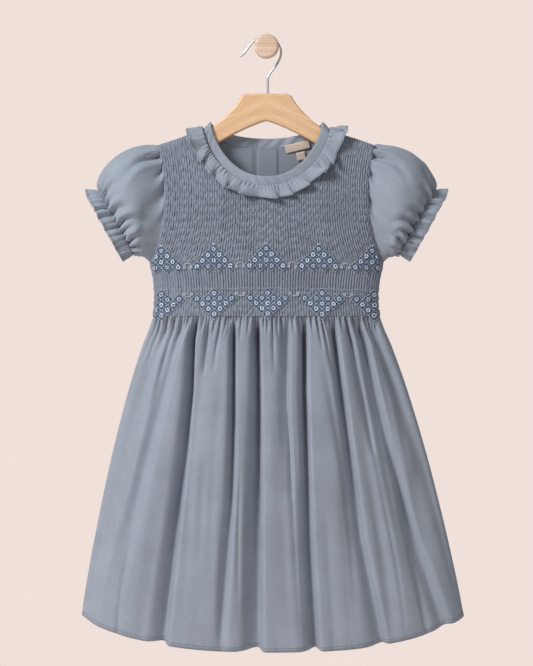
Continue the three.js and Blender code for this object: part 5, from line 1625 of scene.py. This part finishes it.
class DressColours(bpy.types.PropertyGroup):
    cotton: colour_property("Cloth", "Colour of the cotton", "#9AA3B0")
    # the smocked cloth's colour is the cotton painted darker, a painted shade for the shadow between the
    # pleats
    smocked: colour_property("Smocked cloth", "Cotton of the smocked front, painted darker for the shade between its pleats", "#88919F")
    sewing: colour_property("Sewing thread", "Colour of the sewing thread", "#5C6470")
    floss_blue: colour_property("Dark floss", "Darker embroidery floss", "#3F5E82")
    floss_pale: colour_property("Pale floss", "Paler embroidery floss", "#E9F0FF")
    label: colour_property("Label", "Colour of the label tape", "#DBC7B7")
    hanger: colour_property("Hanger", "Pale wood of the hanger", "#F6D0A8")
    hanger_grain: colour_property("Hanger grain", "Darker grain of the hanger", "#D9A673")
    knob: colour_property("Knob", "Pale wood of the knob", "#F0D3BD")
    knob_grain: colour_property("Knob grain", "Darker grain of the knob", "#C9A78B")
    wire: colour_property("Hook", "Colour of the plated wire", "#D8DADC")
    button: colour_property("Buttons", "Colour of the buttons", "#A7ADB6")


class DressStage(bpy.types.PropertyGroup):
    backdrop: colour_property("Backdrop", "Colour behind the dress", "#F0E0DA")
    key_power: bpy.props.FloatProperty(
        name="Key light", description="Power of the light from the upper left", default=76.0, unit="POWER")
    fill_power: bpy.props.FloatProperty(
        name="Fill light", description="Power of the light from the right", default=7.0, unit="POWER")
    back_power: bpy.props.FloatProperty(
        name="Back light", description="Power of the light from behind", default=40.0, unit="POWER")
    ambient: bpy.props.FloatProperty(
        name="Room light", description="Strength of the light from all sides", default=0.26, min=0)


# One operator for each piece or group of like pieces

class DRESS_OT_front_bodice(bpy.types.Operator):
    """Make the smocked front"""
    bl_idname = "dress.front_bodice"
    bl_label = "Smocked Front"

    def execute(self, context):
        piece = finish_piece(smocked_front(context.scene.dress_sizes), "smocked_cotton", "front_bodice")
        sewn = finish_piece(stitches("front_embroidery", embroidery(), "floss"), "smocked_cotton")
        # about the size as it hangs, lowered until its area was accepted; it was cut wider than this
        return {"FINISHED"}


class DRESS_OT_back_bodices(bpy.types.Operator):
    """Make the two back bodices, which lap at the middle"""
    bl_idname = "dress.back_bodices"
    bl_label = "Back Bodices"

    def execute(self, context):
        sizes = context.scene.dress_sizes
        for hand, node, name in ((-1, "back_bodice_left", "left"), (1, "back_bodice_right", "right")):
            piece = finish_piece(back_bodice(hand), "cotton", node)
            z = np.linspace(bodice_top(BACK, np.array(PLACKET_X)) - 1, WAIST_Z + 1, 120)
            x = np.full_like(z, PLACKET_X if hand < 0 else PLACKET_INNER_X)
            normal = bodice_normal(BACK, x, z)
            away = LAP_OVER + CLOTH / 2 + 0.3 if hand < 0 else -CLOTH / 2 - 0.55
            rows = stitch_line(bodice_point(BACK, x, z) + normal * away, normal * np.sign(away), sizes)
            sewn = finish_piece(stitches(f"placket_stitches_{name}", [rows], "sewing"), "cotton")
        return {"FINISHED"}


def hem_stitches(outer, normal, sizes):
    to_hem = outer[..., 2] - outer[-1:, :, 2]
    height = sizes.hem_height / MM
    line, out = level_line(outer, to_hem, height), level_line(normal, to_hem, height)
    return stitch_line(line[3:-3], out[3:-3], sizes)


class DRESS_OT_skirt(bpy.types.Operator):
    """Make the gathered front and back skirts"""
    bl_idname = "dress.skirt"
    bl_label = "Skirt"

    def execute(self, context):
        sizes = context.scene.dress_sizes
        back_gathers = [(-x, length * 0.8) for x, length in FRONT_GATHERS]
        for side, columns, rows, folds, gathers, name, flat in (
            (FRONT, 440, 102, FRONT_FOLDS, FRONT_GATHERS, "front_skirt", (0.6, 0.39)),
            (BACK, 300, 84, BACK_FOLDS, back_gathers, "back_skirt", (0.54, 0.39)),
        ):
            piece, outer, normal = skirt_panel(side, sizes, columns, rows, folds, gathers, name)
            finish_piece(piece, "cotton", name)
            sewn = stitches(f"{name}_hem_stitches", [hem_stitches(outer, normal, sizes)], "sewing")
            finish_piece(sewn, "cotton")
        return {"FINISHED"}


class DRESS_OT_sleeves(bpy.types.Operator):
    """Make both puff sleeves, with their elastic and frill"""
    bl_idname = "dress.sleeves"
    bl_label = "Puff Sleeves"

    def execute(self, context):
        sizes = context.scene.dress_sizes
        for hand, name in ((-1, "left"), (1, "right")):
            piece, at, outer, normal = sleeve(hand, name)
            finish_piece(piece, "cotton", f"sleeve_{name}")
            rows = []
            for place in (0.985, 1.015, SLEEVE_END - 0.032):
                line, out = level_line(outer, at, place), level_line(normal, at, place)
                line, out = np.concatenate([line, line[:1]]), np.concatenate([out, out[:1]])
                rows.append(stitch_line(line, out, sizes))
            sewn = finish_piece(stitches(f"sleeve_stitches_{name}", rows, "sewing"), "cotton")
        return {"FINISHED"}


class DRESS_OT_neck_band(bpy.types.Operator):
    """Make the bound neck band"""
    bl_idname = "dress.neck_band"
    bl_label = "Neck Band"

    def execute(self, context):
        piece, outer, normal = neck_band()
        finish_piece(piece, "cotton", "neck_band")
        rows = stitch_line(outer[2, 4:-4], normal[2, 4:-4], context.scene.dress_sizes, lift=0.2)
        sewn = finish_piece(stitches("band_stitches", [rows], "sewing"), "cotton")
        # a rough size, shorter round the neck than the band that is built
        return {"FINISHED"}


class DRESS_OT_neck_ruffle(bpy.types.Operator):
    """Make the gathered ruffle round the neck"""
    bl_idname = "dress.neck_ruffle"
    bl_label = "Neck Ruffle"

    def execute(self, context):
        piece, outer, normal = neck_ruffle(context.scene.dress_sizes)
        finish_piece(piece, "cotton", "neck_ruffle")
        rows = stitch_line(outer[16, 2:-2], normal[16, 2:-2], context.scene.dress_sizes)
        sewn = finish_piece(stitches("ruffle_stitches", [rows], "sewing"), "cotton")
        # a rough size, shorter than the free edge that is built
        return {"FINISHED"}


class DRESS_OT_labels(bpy.types.Operator):
    """Make the blank label and size tab inside the back neck"""
    bl_idname = "dress.labels"
    bl_label = "Labels"

    def execute(self, context):
        for patch, node, name in ((LABEL, "neck_label", "woven_label"), (SIZE_TAB, "size_tab", "small_tab")):
            piece = finish_piece(label(patch, name), "label_tape", node)
        return {"FINISHED"}


class DRESS_OT_buttons(bpy.types.Operator):
    """Make the three back buttons, sewn on"""
    bl_idname = "dress.buttons"
    bl_label = "Back Buttons"

    def execute(self, context):
        pieces, sewn = buttons()
        for k, piece in enumerate(pieces):
            finish_piece(piece, "button", f"button_{k + 1}")
        finish_piece(stitches("button_threads", sewn, "sewing"), "cotton")
        return {"FINISHED"}


class DRESS_OT_hanger(bpy.types.Operator):
    """Make the wooden hanger, its wire hook and the wall knob"""
    bl_idname = "dress.hanger"
    bl_label = "Hanger, Hook and Knob"

    def execute(self, context):
        finish_piece(hanger(), "hanger_wood", "hanger")
        finish_piece(hook(), "hook_wire", "hook")
        finish_piece(knob(), "knob_wood", "wall_knob")
        return {"FINISHED"}


def area_light(name, power):
    place, size = LIGHTS[name]
    light = bpy.data.lights.new(name, "AREA")
    light.size = size
    light.energy = power
    lamp = bpy.data.objects.new(name, light)
    lamp.location = place
    lamp.rotation_euler = (Vector(LIGHT_AIM) - Vector(place)).to_track_quat("-Z", "Y").to_euler()
    bpy.context.collection.objects.link(lamp)


class DRESS_OT_stage(bpy.types.Operator):
    """Make the camera, the soft studio light and the pale floor"""
    bl_idname = "dress.stage"
    bl_label = "Stage"

    def execute(self, context):
        stage = context.scene.dress_stage
        camera = bpy.data.cameras.new("camera")
        camera.sensor_width = CAMERA_SENSOR
        camera.lens = CAMERA_LENS
        camera.clip_end = CAMERA_REACH
        viewer = bpy.data.objects.new("camera", camera)
        viewer.location = CAMERA_PLACE
        viewer.rotation_euler = (math.pi / 2, 0, 0)
        bpy.context.collection.objects.link(viewer)
        context.scene.camera = viewer
        area_light("key", stage.key_power)
        area_light("fill", stage.fill_power)
        area_light("back", stage.back_power)
        world = bpy.data.worlds.new("room")
        context.scene.world = world
        world.use_nodes = True
        tree = world.node_tree
        tree.nodes.clear()
        colour = (*stage.backdrop, 1.0)
        seen = add(tree, "ShaderNodeBackground", {"Color": colour, "Strength": 1.0})
        room = add(tree, "ShaderNodeBackground", {"Color": (1, 1, 1, 1), "Strength": stage.ambient})
        ray = add(tree, "ShaderNodeLightPath")
        mixed = add(tree, "ShaderNodeMixShader", {
            0: ray.outputs["Is Camera Ray"], 1: room.outputs[0], 2: seen.outputs[0],
        })
        add(tree, "ShaderNodeOutputWorld", {"Surface": mixed.outputs[0]})
        context.scene.view_settings.view_transform = "Standard"
        mesh = bpy.data.meshes.new("floor")
        turns = np.linspace(0, 2 * np.pi, FLOOR_SIDES + 1)[:-1]
        rim = [(FLOOR_R * math.cos(t), FLOOR_R * math.sin(t), FLOOR_Z) for t in turns]
        mesh.from_pydata(rim, [], [list(range(FLOOR_SIDES))])
        paint, paint_tree = new_material("matt floor paint")
        position = add(paint_tree, "ShaderNodeTexCoord").outputs["Object"]
        cloud = add(paint_tree, "ShaderNodeTexNoise", {"Vector": position, "Scale": 6.0})
        shade = mixed_colour(paint_tree, cloud.outputs["Fac"], colour, tuple(0.97 * c for c in colour))
        close_material(paint_tree, add(paint_tree, "ShaderNodeBsdfPrincipled", {
            "Base Color": shade, "Roughness": 0.9,
        }))
        mesh.materials.append(paint)
        floor = bpy.data.objects.new("floor", mesh)
        bpy.context.collection.objects.link(floor)
        return {"FINISHED"}


OPERATORS = (
    DRESS_OT_front_bodice, DRESS_OT_back_bodices, DRESS_OT_skirt, DRESS_OT_sleeves, DRESS_OT_neck_band,
    DRESS_OT_neck_ruffle, DRESS_OT_labels, DRESS_OT_buttons, DRESS_OT_hanger, DRESS_OT_stage,
)


class DRESS_PT_panel(bpy.types.Panel):
    """Sizes, colours and pieces of the dress"""
    bl_idname = "DRESS_PT_panel"
    bl_label = "Smocked Dress"
    bl_space_type = "VIEW_3D"
    bl_region_type = "UI"
    bl_category = "Dress"

    def draw(self, context):
        for group in (context.scene.dress_sizes, context.scene.dress_colours, context.scene.dress_stage):
            box = self.layout.box()
            for name in group.__annotations__:
                box.prop(group, name)
        for operator in OPERATORS:
            self.layout.operator(operator.bl_idname)


GROUPS = {"dress_sizes": DressSizes, "dress_colours": DressColours, "dress_stage": DressStage}
CLASSES = (*GROUPS.values(), *OPERATORS, DRESS_PT_panel)


def register():
    for item in CLASSES:
        bpy.utils.register_class(item)
    for name, group in GROUPS.items():
        setattr(bpy.types.Scene, name, bpy.props.PointerProperty(type=group))


def unregister():
    for name in GROUPS:
        delattr(bpy.types.Scene, name)
    for item in reversed(CLASSES):
        bpy.utils.unregister_class(item)


def main():
    register()
    bpy.ops.dress.stage()
    bpy.ops.dress.front_bodice()
    bpy.ops.dress.back_bodices()
    bpy.ops.dress.skirt()
    bpy.ops.dress.sleeves()
    bpy.ops.dress.neck_band()
    bpy.ops.dress.neck_ruffle()
    bpy.ops.dress.labels()
    bpy.ops.dress.buttons()
    bpy.ops.dress.hanger()


if __name__ == "__main__":
    main()
